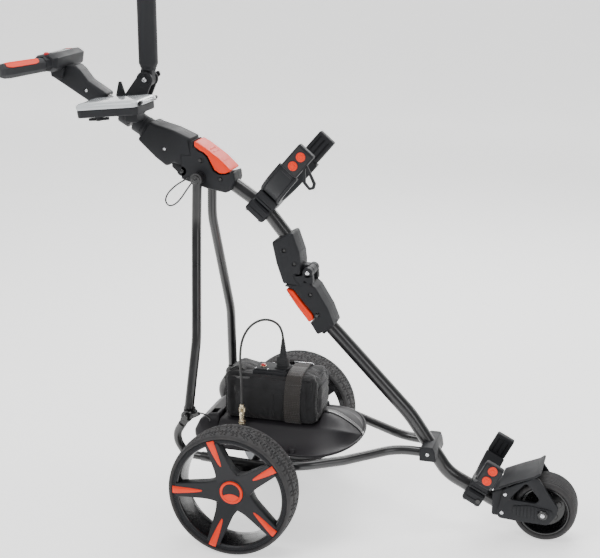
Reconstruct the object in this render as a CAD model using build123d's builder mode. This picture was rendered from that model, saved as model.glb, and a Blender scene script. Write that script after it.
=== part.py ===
from build123d import *
from math import cos, sin, tan, atan2, degrees, radians, pi, hypot
import os

# Electric golf trolley. Millimetres, +X forward, +Y to the left, +Z up, the floor at z = 0.
# Side -1 is the right-hand side (-Y) and side +1 the left-hand side (+Y).

# ---------------------------------------------------------------- driving dimensions
REAR_AXLE_X = -79.3        # rear axle, measured from the middle of the overall length
TRACK = 520.0              # between the middles of the rear tyres
WHEEL_R = 145.0            # rear tyre outside radius
TYRE_HALF = 39.0           # half of the rear tyre's width
RIM_SEAT_R = 126.0
RIM_INNER_R = 119.0
SPOKES = 5
AXLE_R = 6.0
FRONT_X = 662.3            # front axle, forward of the rear axle
FRONT_R = 73.5
FRONT_HALF = 37.5
FRONT_AXLE_R = 5.0
RUN = 0.05                 # radial clearance of running fits
SPINE_R = 16.5
RAIL_R = 11.0
STRUT_R = 11.0
STEM_R = 17.5
SHELL_HALF = 31.0          # half width of the two fold housings
RAIL_Z = 168.0
DECK_Z = 231.3             # flat top of the battery tray
RIM_Z = 194.3              # underside of the battery tray's rim
GEAR_MODULE = 2.0
GEAR_TEETH = 45
PINION_TEETH = 15

os.makedirs("parts", exist_ok=True)


def fwd(distance):
    """x of a point this far forward of the rear axle."""
    return REAR_AXLE_X + distance


def side_points(points):
    """Points (forward of the axle, height) as side-view sketch points."""
    return [(fwd(x), z) for x, z in points]


SIDE = Plane.XZ            # side-view sketches: local x is forward, local y is up
FOLD_PIVOT = (105.0, 591.0)        # where the upper frame folds forward
HANDLE_PIVOT = (-193.0, 811.0)     # where the handle folds back
STRUT_TOP = (-149.0, 799.0)
STRUT_FOOT = (-143.0, 269.0)
STRUT_FOOT_Y = 156.0
STRUT_TOP_Y = 50.0
MOTOR_AXIS = (-42.4, 187.4)
UMBRELLA_PIVOT = (-283.0, 1014.0)


def save(part, name):
    part.label = name
    export_step(part, f"parts/{name}.step")


def y_cylinder(point, radius, y_from, y_to, hole=0.0):
    """A round bar or ring along Y at a side-view point."""
    with BuildPart() as bar:
        with BuildSketch(SIDE.offset(-y_from)):
            with Locations((fwd(point[0]), point[1])):
                Circle(radius)
                if hole:
                    Circle(hole, mode=Mode.SUBTRACT)
        extrude(amount=-(y_to - y_from))
    return bar.part


def slab(points, y_from, y_to):
    """A side-view polygon extruded between two y values."""
    with BuildPart() as plate:
        with BuildSketch(SIDE.offset(-y_from)):
            with BuildLine():
                Polyline(*side_points(points), close=True)
            make_face()
        extrude(amount=-(y_to - y_from))
    return plate.part


def bent_tube(route, radii, outer, inner=0.0):
    """A tube of straight runs joined by tangent arcs."""
    with BuildPart() as tube:
        with BuildLine() as path:
            FilletPolyline(*route, radius=radii)
        start = path.wire() @ 0
        heading = path.wire() % 0
        with BuildSketch(Plane(origin=start, z_dir=heading)):
            Circle(outer)
            if inner:
                Circle(inner, mode=Mode.SUBTRACT)
        sweep(path=path.wire())
    return tube.part


def cord_radii(route, name):
    """The largest tangent arc that the two runs beside each corner allow."""
    radii = []
    points = [Vector(*p) for p in route]
    for before, corner, after in zip(points, points[1:], points[2:]):
        run_in = corner - before
        run_out = after - corner
        turn = radians(run_in.get_angle(run_out))
        shorter = min(run_in.length, run_out.length)
        radii.append(0.45 * shorter / tan(turn / 2))
    print(name, "radii", [round(r, 1) for r in radii])
    return radii


def cord_tube(route, radius, name):
    """A cord's tube, with its volume compared with section times length."""
    with BuildLine() as path:
        FilletPolyline(*route, radius=cord_radii(route, name))
    length = path.wire().length
    tube = bent_tube(route, cord_radii(route, name), radius)
    print(name, "length", round(length, 1), "volume ratio", round(tube.volume / (pi * radius ** 2 * length), 4))
    return tube


def frame_point(x, y, z):
    return (fwd(x), y, z)


SPINE_ROUTE = [frame_point(142, 0, 472), frame_point(345, 0, 262), frame_point(436, 0, 128), frame_point(552, 0, 70)]
SPINE_RADII = [260, 95]


# ---------------------------------------------------------------- rear wheels
def wheel_plane(side):
    """Origin at the wheel's middle, local x outward along the axle."""
    return Plane(origin=(fwd(0), side * TRACK / 2, WHEEL_R), x_dir=(0, side, 0), z_dir=(1, 0, 0))


def turned(profile, side):
    """A profile of (outward, radius) points turned about the rear axle."""
    with BuildPart() as body:
        with BuildSketch(wheel_plane(side)):
            with BuildLine():
                Polyline(*profile, close=True)
            make_face()
        revolve(axis=Axis((fwd(0), side * TRACK / 2, WHEEL_R), (0, 1, 0)))
    return body.part


TYRE_PROFILE = [(-32, 126.2), (-32, 133.4), (-38, 133.8), (-TYRE_HALF, 137), (-36, 141), (-24, 143.8),
                (0, WHEEL_R), (24, 143.8), (36, 141), (TYRE_HALF, 137), (38, 133.8), (32, 133.4), (32, 126.2)]
RIM_PROFILE = [(-35.5, RIM_INNER_R), (-35.5, 133), (-32.3, 133), (-32.3, RIM_SEAT_R), (32.3, RIM_SEAT_R),
               (32.3, 133), (35.5, 133), (35.5, RIM_INNER_R)]
HUB_PROFILE = [(-41, AXLE_R + RUN), (-41, 20), (-20, 24), (-4, 30), (17, 30), (17, 0), (12, 0), (12, AXLE_R + RUN)]
SPOKE_DISH = 11.7          # degrees that a spoke leans outward from hub to rim
SPOKE_BASE = -3.0          # outward place of a spoke's back at the wheel's axis
SPOKE_THICK = 14.0


def spoke_plane(side, turn):
    """Plane on a spoke's back: local x runs out along the spoke, local z outward."""
    lean = radians(SPOKE_DISH)
    angle = radians(turn)
    radial = Vector(cos(angle), 0, sin(angle))
    outward = Vector(0, side, 0)
    along = radial * cos(lean) + outward * sin(lean)
    normal = outward * cos(lean) - radial * sin(lean)
    origin = Vector(fwd(0), side * (TRACK / 2 + SPOKE_BASE), WHEEL_R)
    return Plane(origin=origin, x_dir=along, z_dir=normal)


def spoke_turns():
    return [180 + 360 / SPOKES * i for i in range(SPOKES)]


def rear_wheel(side):
    """Barrel, hub and five tapered spokes in one moulding."""
    barrel = turned(RIM_PROFILE, side)
    hub = turned(HUB_PROFILE, side)
    with BuildPart() as wheel:
        add(barrel)
        for turn in spoke_turns():
            with BuildSketch(spoke_plane(side, turn)):
                with BuildLine():
                    Polyline((22, -26), (60, -20), (123.5, -15.5), (123.5, 15.5), (60, 20), (22, 26), close=True)
                make_face()
            extrude(amount=SPOKE_THICK)
        add(hub)
    core = y_cylinder((0, WHEEL_R), AXLE_R + RUN, *sorted((side * (TRACK / 2 - 42), side * (TRACK / 2 + 12))))
    with BuildPart() as bored:
        add(wheel.part)
        add(core, mode=Mode.SUBTRACT)
    return bored.part


def wheel_trim(side):
    """Five leaf-shaped spoke inserts and the hub cap, all push fitted."""
    pieces = []
    for turn in spoke_turns():
        with BuildPart() as leaf:
            with BuildSketch(spoke_plane(side, turn).offset(SPOKE_THICK)):
                with BuildLine():
                    Polyline((67, 0), (86, -6.2), (112, -8.4), (132, -8.2), (132, 8.2), (112, 8.4), (86, 6.2), close=True)
                make_face()
            extrude(amount=1.6)
        pieces.append(leaf.part)
    cap_from = TRACK / 2 + 17
    with BuildPart() as cap:
        with BuildSketch(Plane(origin=(fwd(0), side * cap_from, WHEEL_R), x_dir=(1, 0, 0), z_dir=(0, side, 0))):
            Circle(25)
        extrude(amount=3.5)
        chamfer(cap.faces().sort_by(Axis.Y)[-1 if side > 0 else 0].edges(), 1.0)
    pieces.append(cap.part)
    return Compound(children=pieces)


for side, hand in ((-1, "right"), (1, "left")):
    save(turned(TYRE_PROFILE, side), f"tyre_{hand}")
    save(rear_wheel(side), f"wheel_{hand}")
    save(wheel_trim(side), f"wheel_trim_{hand}")


# ---------------------------------------------------------------- front wheel and fork
def front_turned(profile):
    """A profile of (sideways, radius) points turned about the front axle."""
    with BuildPart() as body:
        with BuildSketch(Plane(origin=(fwd(FRONT_X), 0, FRONT_R), x_dir=(0, 1, 0), z_dir=(1, 0, 0))):
            with BuildLine():
                Polyline(*profile, close=True)
            make_face()
        revolve(axis=Axis((fwd(FRONT_X), 0, FRONT_R), (0, 1, 0)))
    return body.part


FRONT_TYRE = [(-33, 58.2), (-37, 60), (-FRONT_HALF, 64), (-33, 70), (-20, 72.8), (0, FRONT_R),
              (20, 72.8), (33, 70), (FRONT_HALF, 64), (37, 60), (33, 58.2)]
FRONT_RIM = [(-34, 58), (34, 58), (34, 53), (6, 46), (6, 16), (40, 13), (40, FRONT_AXLE_R + RUN),
             (-40, FRONT_AXLE_R + RUN), (-40, 13), (-6, 16), (-6, 46), (-34, 53)]
save(front_turned(FRONT_TYRE), "front_tyre")
save(front_turned(FRONT_RIM), "front_rim")

FORK_OUTLINE = [(562, 53), (560, 68), (572, 124), (640, 160), (650, 158), (697, 90), (690, 70), (674, 48), (601, 50)]
FORK_WINDOW = [(588, 105), (619, 142), (625, 143), (654, 108), (646, 98), (592, 101)]
CHEEK_IN = 43.0
CHEEK_OUT = 50.0


def front_fork():
    """Two windowed cheeks on a crown that takes the spine's front end."""
    with BuildPart() as fork:
        for y_from, y_to in ((-CHEEK_OUT, -CHEEK_IN), (CHEEK_IN, CHEEK_OUT)):
            add(slab(FORK_OUTLINE, y_from, y_to))
            add(slab(FORK_WINDOW, y_from - 1, y_to + 1), mode=Mode.SUBTRACT)
        add(slab([(546, 55), (546, 112), (576, 124), (580, 108), (574, 53)], -CHEEK_IN - 1, CHEEK_IN + 1))
        for y_from, y_to in ((-CHEEK_OUT - 3, -CHEEK_OUT + 1), (CHEEK_OUT - 1, CHEEK_OUT + 3)):
            add(slab([(594, 66), (592, 88), (630, 94), (684, 88), (686, 66), (660, 56)], y_from, y_to))
        add(y_cylinder((FRONT_X, FRONT_R), FRONT_AXLE_R, -60, 60), mode=Mode.SUBTRACT)
        add(bent_tube(SPINE_ROUTE, SPINE_RADII, SPINE_R), mode=Mode.SUBTRACT)
    return fork.part


save(front_fork(), "front_fork")
save(slab([(563, 126), (561, 130.5), (640, 166), (652, 175), (655, 171), (642, 161.5)], -55, 55), "bag_base_rest")


# ---------------------------------------------------------------- chassis tubes
save(bent_tube(SPINE_ROUTE, SPINE_RADII, SPINE_R, SPINE_R - 2), "lower_spine")

RAIL_ROUTE = [(-112, 156, RAIL_Z), (40, 180, 172), (137, 178, 183), (217, 124, 183), (322, 40, 190), (402, 36, 187)]


def rail(side):
    route = [frame_point(x, side * y, z) for x, y, z in RAIL_ROUTE]
    return bent_tube(route, [150, 90, 150, 110], RAIL_R, RAIL_R - 1.8)


def spine_bracket():
    """Block that joins the rails' front ends to the spine."""
    with BuildPart() as block:
        add(slab([(380, 174), (380, 203), (408, 203), (414, 174)], -50, 50))
        add(bent_tube(SPINE_ROUTE, SPINE_RADII, SPINE_R), mode=Mode.SUBTRACT)
        for side in (-1, 1):
            route = [frame_point(x, side * y, z) for x, y, z in RAIL_ROUTE]
            add(bent_tube(route, [150, 90, 150, 110], RAIL_R), mode=Mode.SUBTRACT)
    return block.part


save(Compound(children=[rail(-1), rail(1), spine_bracket()]), "chassis_rails")


def axle_frame():
    """Two axle tubes, a rear cross tube and two brackets that tie them to the rails."""
    pieces = [y_cylinder((0, WHEEL_R), 12.5, -206, -30, 10.0), y_cylinder((0, WHEEL_R), 12.5, 30, 206, 10.0)]
    pieces.append(y_cylinder((-96, 165), 8.0, -145, 145))
    for side in (-1, 1):
        with BuildPart() as bracket:
            add(slab([(-20, 138), (-24, 168), (24, 172), (20, 138), (8, 130), (-8, 130)],
                     *sorted((side * 186, side * 160))))
            add(y_cylinder((0, WHEEL_R), 12.5, -210, 210), mode=Mode.SUBTRACT)
            route = [frame_point(x, side * y, z) for x, y, z in RAIL_ROUTE]
            add(bent_tube(route, [150, 90, 150, 110], RAIL_R), mode=Mode.SUBTRACT)
        pieces.append(bracket.part.solids().sort_by(SortBy.VOLUME)[-1])
    return Compound(children=pieces)


save(axle_frame(), "axle_frame")
bearings = [y_cylinder((0, WHEEL_R), 10.0, y, y + 10, AXLE_R + RUN) for y in (-204, -42, 32, 194)]
save(Compound(children=bearings), "axle_bearings")

ARM_ROUTE = [(-113, 156, RAIL_Z), (-152, 156, 170), (-176, 148, 215), (-152, 139, 252)]


def strut_arm(side):
    """Curved arm that rises behind the wheel and ends in a lug beside the strut's foot."""
    foot_y = side * STRUT_FOOT_Y
    route = [frame_point(x, foot_y + (y - 156), z) for x, y, z in ARM_ROUTE]
    with BuildPart() as arm:
        add(bent_tube(route, [22, 48], 9.5))
        add(y_cylinder(STRUT_FOOT, 13.5, foot_y - 16, foot_y - 6.3))
        add(slab([(-160, 244), (-155, 266), (-133, 262), (-146, 246)], foot_y - 22, foot_y - 6.3))
        if side < 0:
            add(slab([(-134, 262), (-134, 272), (-116, 281), (-112, 274)], foot_y - 14, foot_y - 6.3))
        add(y_cylinder(STRUT_FOOT, 4.2, foot_y - 30, foot_y + 30), mode=Mode.SUBTRACT)
    return arm.part


save(Compound(children=[strut_arm(-1), strut_arm(1)]), "strut_arms")


def lobed_knob(point, y_from, height, radius, lobes):
    """A hand knob along +Y with finger lobes."""
    with BuildPart() as knob:
        with BuildSketch(SIDE.offset(-y_from)):
            with Locations((fwd(point[0]), point[1])):
                Circle(radius * 0.8)
                with PolarLocations(radius * 0.72, lobes):
                    Circle(radius * 0.34)
        extrude(amount=-height)
        chamfer(knob.faces().sort_by(Axis.Y)[-1].edges(), 1.2)
    return knob.part


def foot_clamp(side):
    """Bolt through the arm's lug, and the knob that clamps the strut's foot on it."""
    foot_y = side * STRUT_FOOT_Y
    with BuildPart() as clamp:
        add(lobed_knob(STRUT_FOOT, foot_y + 8, 18, 13, 6))
        add(y_cylinder(STRUT_FOOT, 4.0, foot_y - 26, foot_y + 9))
        add(y_cylinder(STRUT_FOOT, 7.5, foot_y - 27, foot_y - 22.1))
    return clamp.part


save(Compound(children=[foot_clamp(-1), foot_clamp(1)]), "strut_clamp_knobs")


# ---------------------------------------------------------------- drive
def gear_outline(teeth, module, phase):
    """Straight-flanked teeth with backlash, as one closed outline."""
    pitch = teeth * module / 2
    tip = pitch + 0.85 * module
    root = pitch - 1.15 * module
    points = []
    for i in range(teeth):
        middle = radians(phase + 360 * i / teeth)
        step = 2 * pi / teeth
        for radius, part in ((root, -0.30), (tip, -0.12), (tip, 0.12), (root, 0.30)):
            angle = middle + part * step
            points.append((radius * cos(angle), radius * sin(angle)))
    return points


def spur_gear(point, teeth, phase, y_from, y_to, bore):
    with BuildPart() as gear:
        with BuildSketch(Plane(origin=(fwd(point[0]), y_from, point[1]), x_dir=(1, 0, 0), z_dir=(0, -1, 0))):
            with BuildLine():
                Polyline(*gear_outline(teeth, GEAR_MODULE, phase), close=True)
            make_face()
            if bore:
                Circle(bore, mode=Mode.SUBTRACT)
        extrude(amount=-(y_to - y_from))
    return gear.part


MESH_ANGLE = degrees(atan2(MOTOR_AXIS[1] - WHEEL_R, MOTOR_AXIS[0]))
GEAR_STEP = 360 / GEAR_TEETH
PINION_STEP = 360 / PINION_TEETH
save(y_cylinder((0, WHEEL_R), AXLE_R, -270, 270), "drive_axle")
save(spur_gear((0, WHEEL_R), GEAR_TEETH, MESH_ANGLE, -7, 7, AXLE_R), "drive_gear")
pinion = spur_gear(MOTOR_AXIS, PINION_TEETH, MESH_ANGLE + 180 + PINION_STEP / 2, -8, 8, 0)
pinion_shaft = y_cylinder(MOTOR_AXIS, 4.0, -14, 24)
with BuildPart() as motor_pinion:
    add(pinion)
    add(pinion_shaft)
save(motor_pinion.part, "motor_pinion")


def case_outline(grow):
    """Side view of the gearbox: two circles joined by their outer tangents, nearly enough."""
    with BuildSketch() as outline:
        with Locations((fwd(0), WHEEL_R)):
            Circle(53 + grow)
        with Locations((fwd(MOTOR_AXIS[0]), MOTOR_AXIS[1])):
            Circle(22 + grow)
        with BuildLine():
            Polyline((fwd(-53 - grow), 150), (fwd(-60 - grow), 176), (fwd(-54 - grow), 203 + grow),
                     (fwd(-30), 210 + grow), (fwd(10), 197 + grow), (fwd(0), 150), close=True)
        make_face()
    return outline.sketch


def gearbox_half(side):
    """One half of the case: a cup 17 deep with holes for the axle and the motor shaft."""
    with BuildPart() as half:
        with BuildSketch(Plane(origin=(0, 0, 0), x_dir=(1, 0, 0), z_dir=(0, -1, 0))):
            add(case_outline(4))
        extrude(amount=-side * 20)
        with BuildSketch(Plane(origin=(0, 0, 0), x_dir=(1, 0, 0), z_dir=(0, -1, 0))):
            add(case_outline(0))
        extrude(amount=-side * 16, mode=Mode.SUBTRACT)
        add(y_cylinder((0, WHEEL_R), AXLE_R + 1.0, -40, 40), mode=Mode.SUBTRACT)
        add(y_cylinder(MOTOR_AXIS, 4.6, -40, 40), mode=Mode.SUBTRACT)
    return half.part


def gearbox_neck(side):
    """Short neck that carries the axle tube's inner end."""
    return y_cylinder((0, WHEEL_R), 16.0, *sorted((side * 20, side * 30)), hole=AXLE_R + 1.0)


save(Compound(children=[gearbox_half(-1), gearbox_neck(-1), gearbox_half(1), gearbox_neck(1)]), "gearbox_case")


def drive_motor():
    """Drum motor with an end cap, bored for the pinion's shaft."""
    with BuildPart() as motor:
        add(y_cylinder(MOTOR_AXIS, 33.0, 20.2, 90))
        add(y_cylinder(MOTOR_AXIS, 30.0, 90, 97))
        add(y_cylinder(MOTOR_AXIS, 4.05, 0, 40), mode=Mode.SUBTRACT)
    return motor.part


save(drive_motor(), "drive_motor")


# ---------------------------------------------------------------- battery tray and controller cover
TRAY_PLAN = [(-96, 158), (112, 160), (150, 150), (192, 122), (218, 72), (231, 0)]
TRAY_SECTION = [(-162, 0), (-160, 7), (-92, 33), (-72, 37), (72, 37), (92, 33), (160, 7), (162, 0)]
TRAY_WALL = 4.0
NOSE_RIDGE = [(134, 200), (134, 250), (143, 250), (182, 231), (216, 209), (230, 197), (200, 195)]


def tray_outline(grow):
    """Plan of the tray: straight at the back, running in to a rounded nose."""
    half = [(x + grow if x > 0 else x - grow, max(y + grow, 0)) for x, y in TRAY_PLAN]
    other = [(x, -y) for x, y in reversed(half[:-1])]
    return [(fwd(x), y) for x, y in half + other]


def tray_hull(grow):
    """The plan extruded upwards and cut to the domed cross-section."""
    with BuildPart() as plan:
        with BuildSketch(Plane.XY.offset(RIM_Z)):
            with BuildLine():
                Polyline(*tray_outline(grow), close=True)
            make_face()
        extrude(amount=80)
    with BuildPart() as section:
        with BuildSketch(Plane(origin=(fwd(-110), 0, RIM_Z), x_dir=(0, 1, 0), z_dir=(1, 0, 0))):
            with BuildLine():
                Polyline(*[(y, max(z + grow, 0)) for y, z in TRAY_SECTION], close=True)
            make_face()
        extrude(amount=360)
    fall = slab([(-110, 190), (-110, 260), (146 + grow, 260), (150 + grow, 231 + grow), (196 + grow, 222 + grow),
                 (224 + grow, 206 + grow), (236 + grow, 196 + grow), (236 + grow, 190)], -200, 200)
    with BuildPart() as hull:
        add(plan.part)
        add(section.part, mode=Mode.INTERSECT)
        add(fall, mode=Mode.INTERSECT)
    return hull.part


def battery_tray():
    """Hollow fairing with a flat deck for the battery, and a nose with a low ridge in front of it."""
    with BuildPart() as tray:
        add(tray_hull(0))
        add(slab(NOSE_RIDGE, -34, 34))
        add(tray_hull(-TRAY_WALL), mode=Mode.SUBTRACT)
        for side in (-1, 1):
            with Locations((fwd(102), side * 152, 205)):
                Cylinder(9, 12)
    return tray.part.solids().sort_by(SortBy.VOLUME)[-1]


save(battery_tray(), "battery_tray")

COVER_OUTLINE = [(-162, 178), (-163, 196), (-150, 222), (-128, 238), (-104, 242), (-99, 236), (-99, 178)]


def controller_cover():
    """Rounded cover behind the tray, hollow from below."""
    with BuildPart() as cover:
        add(slab(COVER_OUTLINE, -86, 86))
        add(slab([(-158, 170), (-159, 196), (-147, 219), (-126, 234), (-105, 237), (-103, 170)], -80, 80),
            mode=Mode.SUBTRACT)
    return cover.part


save(controller_cover(), "controller_cover")


def speed_controller():
    """Finned control box under the cover."""
    with BuildPart() as box:
        with Locations((fwd(-126), 0, 198)):
            Box(38, 110, 26)
        with Locations((fwd(-126), 0, 214)):
            with GridLocations(0, 12, 1, 9):
                Box(34, 4, 8)
    return box.part


save(speed_controller(), "speed_controller")


# ---------------------------------------------------------------- battery, bag, strap and lead
BAG_X = (-88.0, 132.0)
BAG_Y = (-62.0, 58.0)
BAG_Z = (DECK_Z + 1.0, 342.0)
BAG_WALL = 6.0


def box_between(xs, ys, zs, rounding=0.0):
    with BuildPart() as block:
        with Locations((fwd((xs[0] + xs[1]) / 2), (ys[0] + ys[1]) / 2, (zs[0] + zs[1]) / 2)):
            Box(xs[1] - xs[0], ys[1] - ys[0], zs[1] - zs[0])
        if rounding:
            fillet(block.edges(), rounding)
    return block.part


def shrink(span, amount):
    return (span[0] + amount, span[1] - amount)


save(box_between(shrink(BAG_X, BAG_WALL), shrink(BAG_Y, BAG_WALL), shrink(BAG_Z, BAG_WALL)), "battery")
with BuildPart() as battery_bag:
    add(box_between(BAG_X, BAG_Y, BAG_Z, 13))
    add(box_between(shrink(BAG_X, BAG_WALL), shrink(BAG_Y, BAG_WALL), shrink(BAG_Z, BAG_WALL)), mode=Mode.SUBTRACT)
save(battery_bag.part, "battery_bag")

STRAP_X = (60.0, 98.0)
STRAP_THICK = 2.4
with BuildPart() as battery_strap:
    add(box_between(STRAP_X, (BAG_Y[0] - STRAP_THICK - 0.2, BAG_Y[1] + STRAP_THICK + 0.2),
                    (DECK_Z + 0.2, BAG_Z[1] + STRAP_THICK + 0.2)))
    add(box_between(shrink(STRAP_X, -1), (BAG_Y[0] - 0.2, BAG_Y[1] + 0.2), (DECK_Z - 1, BAG_Z[1] + 0.2)),
        mode=Mode.SUBTRACT)
save(battery_strap.part, "battery_strap")

TERMINAL_TOP = BAG_Z[1] + 12.0
with BuildPart() as terminal_block:
    add(box_between((-24, 58), (-46, 10), (BAG_Z[1], TERMINAL_TOP)))
    with Locations((fwd(-4), -22, TERMINAL_TOP + 3)):
        Cylinder(6, 6)
save(terminal_block.part, "terminal_block")

LEAD_R = 2.8
PLUG_AT = (43.0, -18.0)
BOOT_TOP = 424.0
with BuildPart() as battery_plug:
    with Locations((fwd(PLUG_AT[0]), PLUG_AT[1], TERMINAL_TOP + 14)):
        Box(26, 20, 28)
    with BuildSketch(Plane(origin=(fwd(PLUG_AT[0]), PLUG_AT[1], TERMINAL_TOP + 28))):
        Circle(9)
    with BuildSketch(Plane(origin=(fwd(PLUG_AT[0]), PLUG_AT[1], BOOT_TOP))):
        Circle(4)
    loft()
save(battery_plug.part, "battery_plug")

CONNECTOR_AT = (-36.0, -90.0)
CONNECTOR_TOP = 280.0
with BuildPart() as lead_connector:
    for z_from, z_to, radius in ((DECK_Z, 236, 8.5), (236, 252, 6.2), (252, 260, 7.4), (260, 274, 6.6),
                                 (274, CONNECTOR_TOP, 5.0)):
        with BuildSketch(Plane(origin=(fwd(CONNECTOR_AT[0]), CONNECTOR_AT[1], z_from))):
            Circle(radius)
        extrude(amount=z_to - z_from)
save(lead_connector.part, "lead_connector")

LEAD_ROUTE = [(-36, -90, 280), (-35, -90, 320), (-38, -90, 362), (-40, -88, 402), (-35, -84, 440), (-18, -76, 470),
              (8, -64, 484), (32, -48, 476), (45, -31, 452), (43, -18, BOOT_TOP)]
save(cord_tube([frame_point(*p) for p in LEAD_ROUTE], LEAD_R, "power_lead"), "power_lead")

CONTROL_R = 1.8
LOWER_CABLE_ROUTE = [(-113, -166, 279), (-105, -158, 275), (-99, -145, 263), (-103, -126, 249), (-111, -106, 236),
                     (-118, -86.3, 228)]


# ---------------------------------------------------------------- the fold at the middle of the spine
SEAM_R = 34.5              # the hook's arc about the pivot
SHELL_GAP = 0.8
KNUCKLE_R = 12.0
REAR_EDGE_TOP = [(20, 658), (31, 608), (47, 561)]
REAR_EDGE_LOW = [(47.5, 560.2), (74, 519), (110, 475), (129, 445)]


def on_arc(radius, angle):
    return (FOLD_PIVOT[0] + radius * cos(radians(angle)), FOLD_PIVOT[1] + radius * sin(radians(angle)))


def shell_face(before, arc_radius, arc_angles, after, y_half):
    """A side-view outline with one arc about the fold pivot, extruded both ways."""
    start = on_arc(arc_radius, arc_angles[0])
    middle = on_arc(arc_radius, (arc_angles[0] + arc_angles[1]) / 2)
    end = on_arc(arc_radius, arc_angles[1])
    with BuildPart() as shell:
        with BuildSketch(SIDE):
            with BuildLine():
                Polyline(*side_points(before + [start]))
                ThreePointArc(*side_points([start, middle, end]))
                Polyline(*side_points([end] + after + [before[0]]))
            make_face()
        extrude(amount=y_half, both=True)
    return shell.part


HINGE_HALF = 14.0          # half width of the middle knuckle


def upper_joint_shell():
    """Upper half of the middle fold housing, with the middle knuckle."""
    body = shell_face([(47, 561), (88, 561)], SEAM_R, (240.4, 197.0), [(89, 583.5), (89, 612), (86, 636), (69, 684), (20, 658), (31, 608)], SHELL_HALF)
    with BuildPart() as shell:
        add(body)
        long_edges = shell.edges().filter_by(lambda e: abs(abs(e.center().Y) - SHELL_HALF) < 0.5 and e.center().Z > 590)
        fillet(long_edges.filter_by(lambda e: e.length > 30), 7)
        add(slab([(80, 590), (80, 628), (100, 604), (114, 599), (105, 579)], -HINGE_HALF, HINGE_HALF))
        add(y_cylinder(FOLD_PIVOT, KNUCKLE_R, -HINGE_HALF, HINGE_HALF))
        add(y_cylinder(FOLD_PIVOT, 4 + RUN, -40, 40), mode=Mode.SUBTRACT)
        add(bent_tube(UPPER_SPINE_ROUTE, [190], SPINE_R), mode=Mode.SUBTRACT)
    return shell.part


LATCH_LOW_OUTLINE = [(51.5, 551), (79, 511), (109, 474), (117, 480), (112, 491), (98, 503), (84, 519), (67, 542)]
LATCH_LOW_POCKET = [(46, 553), (44, 545), (79, 498), (103, 468), (121.5, 480), (116.5, 494.5), (102.5, 507),
                    (88, 522.5), (69.5, 547), (56, 556)]


def lower_joint_shell():
    """Lower half of the middle fold housing, with the two outer knuckles."""
    inner = SEAM_R - SHELL_GAP
    body = shell_face([(47.5, 560.2), (89.3, 560.2)], inner, (240.4, 197.2), [(90, 582.6), (97, 580), (125, 556), (154, 509), (169, 471), (129, 445), (110, 475), (74, 519)], SHELL_HALF)
    with BuildPart() as shell:
        add(body)
        for y_from, y_to in ((-SHELL_HALF, -HINGE_HALF - 0.4), (HINGE_HALF + 0.4, SHELL_HALF)):
            add(slab([(96, 583), (95, 570), (117, 568), (117, 588)], y_from, y_to))
            add(y_cylinder(FOLD_PIVOT, KNUCKLE_R, y_from, y_to))
        add(y_cylinder(FOLD_PIVOT, KNUCKLE_R + 0.6, -HINGE_HALF - 0.4, HINGE_HALF + 0.4), mode=Mode.SUBTRACT)
        add(y_cylinder(FOLD_PIVOT, 4.0, -40, 40), mode=Mode.SUBTRACT)
        add(slab(LATCH_LOW_POCKET, -40, 40), mode=Mode.SUBTRACT)
        add(bent_tube(SPINE_ROUTE, SPINE_RADII, SPINE_R), mode=Mode.SUBTRACT)
    return shell.part.solids().sort_by(SortBy.VOLUME)[-1]


UPPER_SPINE_ROUTE = [frame_point(-122, 0, 811), frame_point(-6, 0, 735), frame_point(58, 0, 656)]
save(bent_tube(UPPER_SPINE_ROUTE, [190], SPINE_R, SPINE_R - 2), "upper_spine")
save(upper_joint_shell(), "upper_joint_shell")
save(lower_joint_shell(), "lower_joint_shell")
save(slab(LATCH_LOW_OUTLINE, -SHELL_HALF, SHELL_HALF), "lower_latch")


# ---------------------------------------------------------------- bag brackets
def yoke_plane(point, slope):
    """Across the spine at a side-view point: local x is left, local y up and away from the spine."""
    angle = radians(slope)
    return Plane(origin=(fwd(point[0]), 0, point[1]), x_dir=(0, 1, 0), z_dir=(cos(angle), 0, sin(angle)))


UPPER_YOKE = dict(point=(-8, 736), slope=-41, arc_r=84.3, low=38.0, end=132.0, depth=54.0, pad=66.0)
LOWER_YOKE = dict(point=(505, 93), slope=-27, arc_r=106.0, low=32.0, end=64.0, depth=46.0, pad=52.0)
BAND = 7.0
PAD_IN = 77.0
PAD_THICK = 18.0


def bag_bracket(yoke):
    """Clamp on the spine with a curved cradle arm to each side."""
    plane = yoke_plane(yoke["point"], yoke["slope"])
    centre = yoke["low"] + yoke["arc_r"]
    with BuildPart() as bracket:
        with BuildSketch(plane.offset(-yoke["depth"] / 2)):
            with Locations((0, centre)):
                Circle(yoke["arc_r"] + BAND)
                Circle(yoke["arc_r"] - BAND, mode=Mode.SUBTRACT)
            with Locations((0, yoke["end"] + 200)):
                Rectangle(400, 400, mode=Mode.SUBTRACT)
            with Locations((0, 4)):
                Rectangle(54, 62)
        extrude(amount=yoke["depth"])
        route = UPPER_SPINE_ROUTE if yoke is UPPER_YOKE else SPINE_ROUTE
        radii = [190] if yoke is UPPER_YOKE else [260, 95]
        add(bent_tube(route, radii, SPINE_R), mode=Mode.SUBTRACT)
    return bracket.part.solids().sort_by(SortBy.VOLUME)[-1]


def pad_box(yoke, side):
    plane = yoke_plane(yoke["point"], yoke["slope"])
    with BuildPart() as pad:
        with BuildSketch(plane.offset(-22)):
            with Locations((side * (PAD_IN + PAD_THICK / 2), yoke["end"] + yoke["pad"] / 2)):
                RectangleRounded(PAD_THICK, yoke["pad"], 3)
        extrude(amount=44)
    return pad.part


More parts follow.
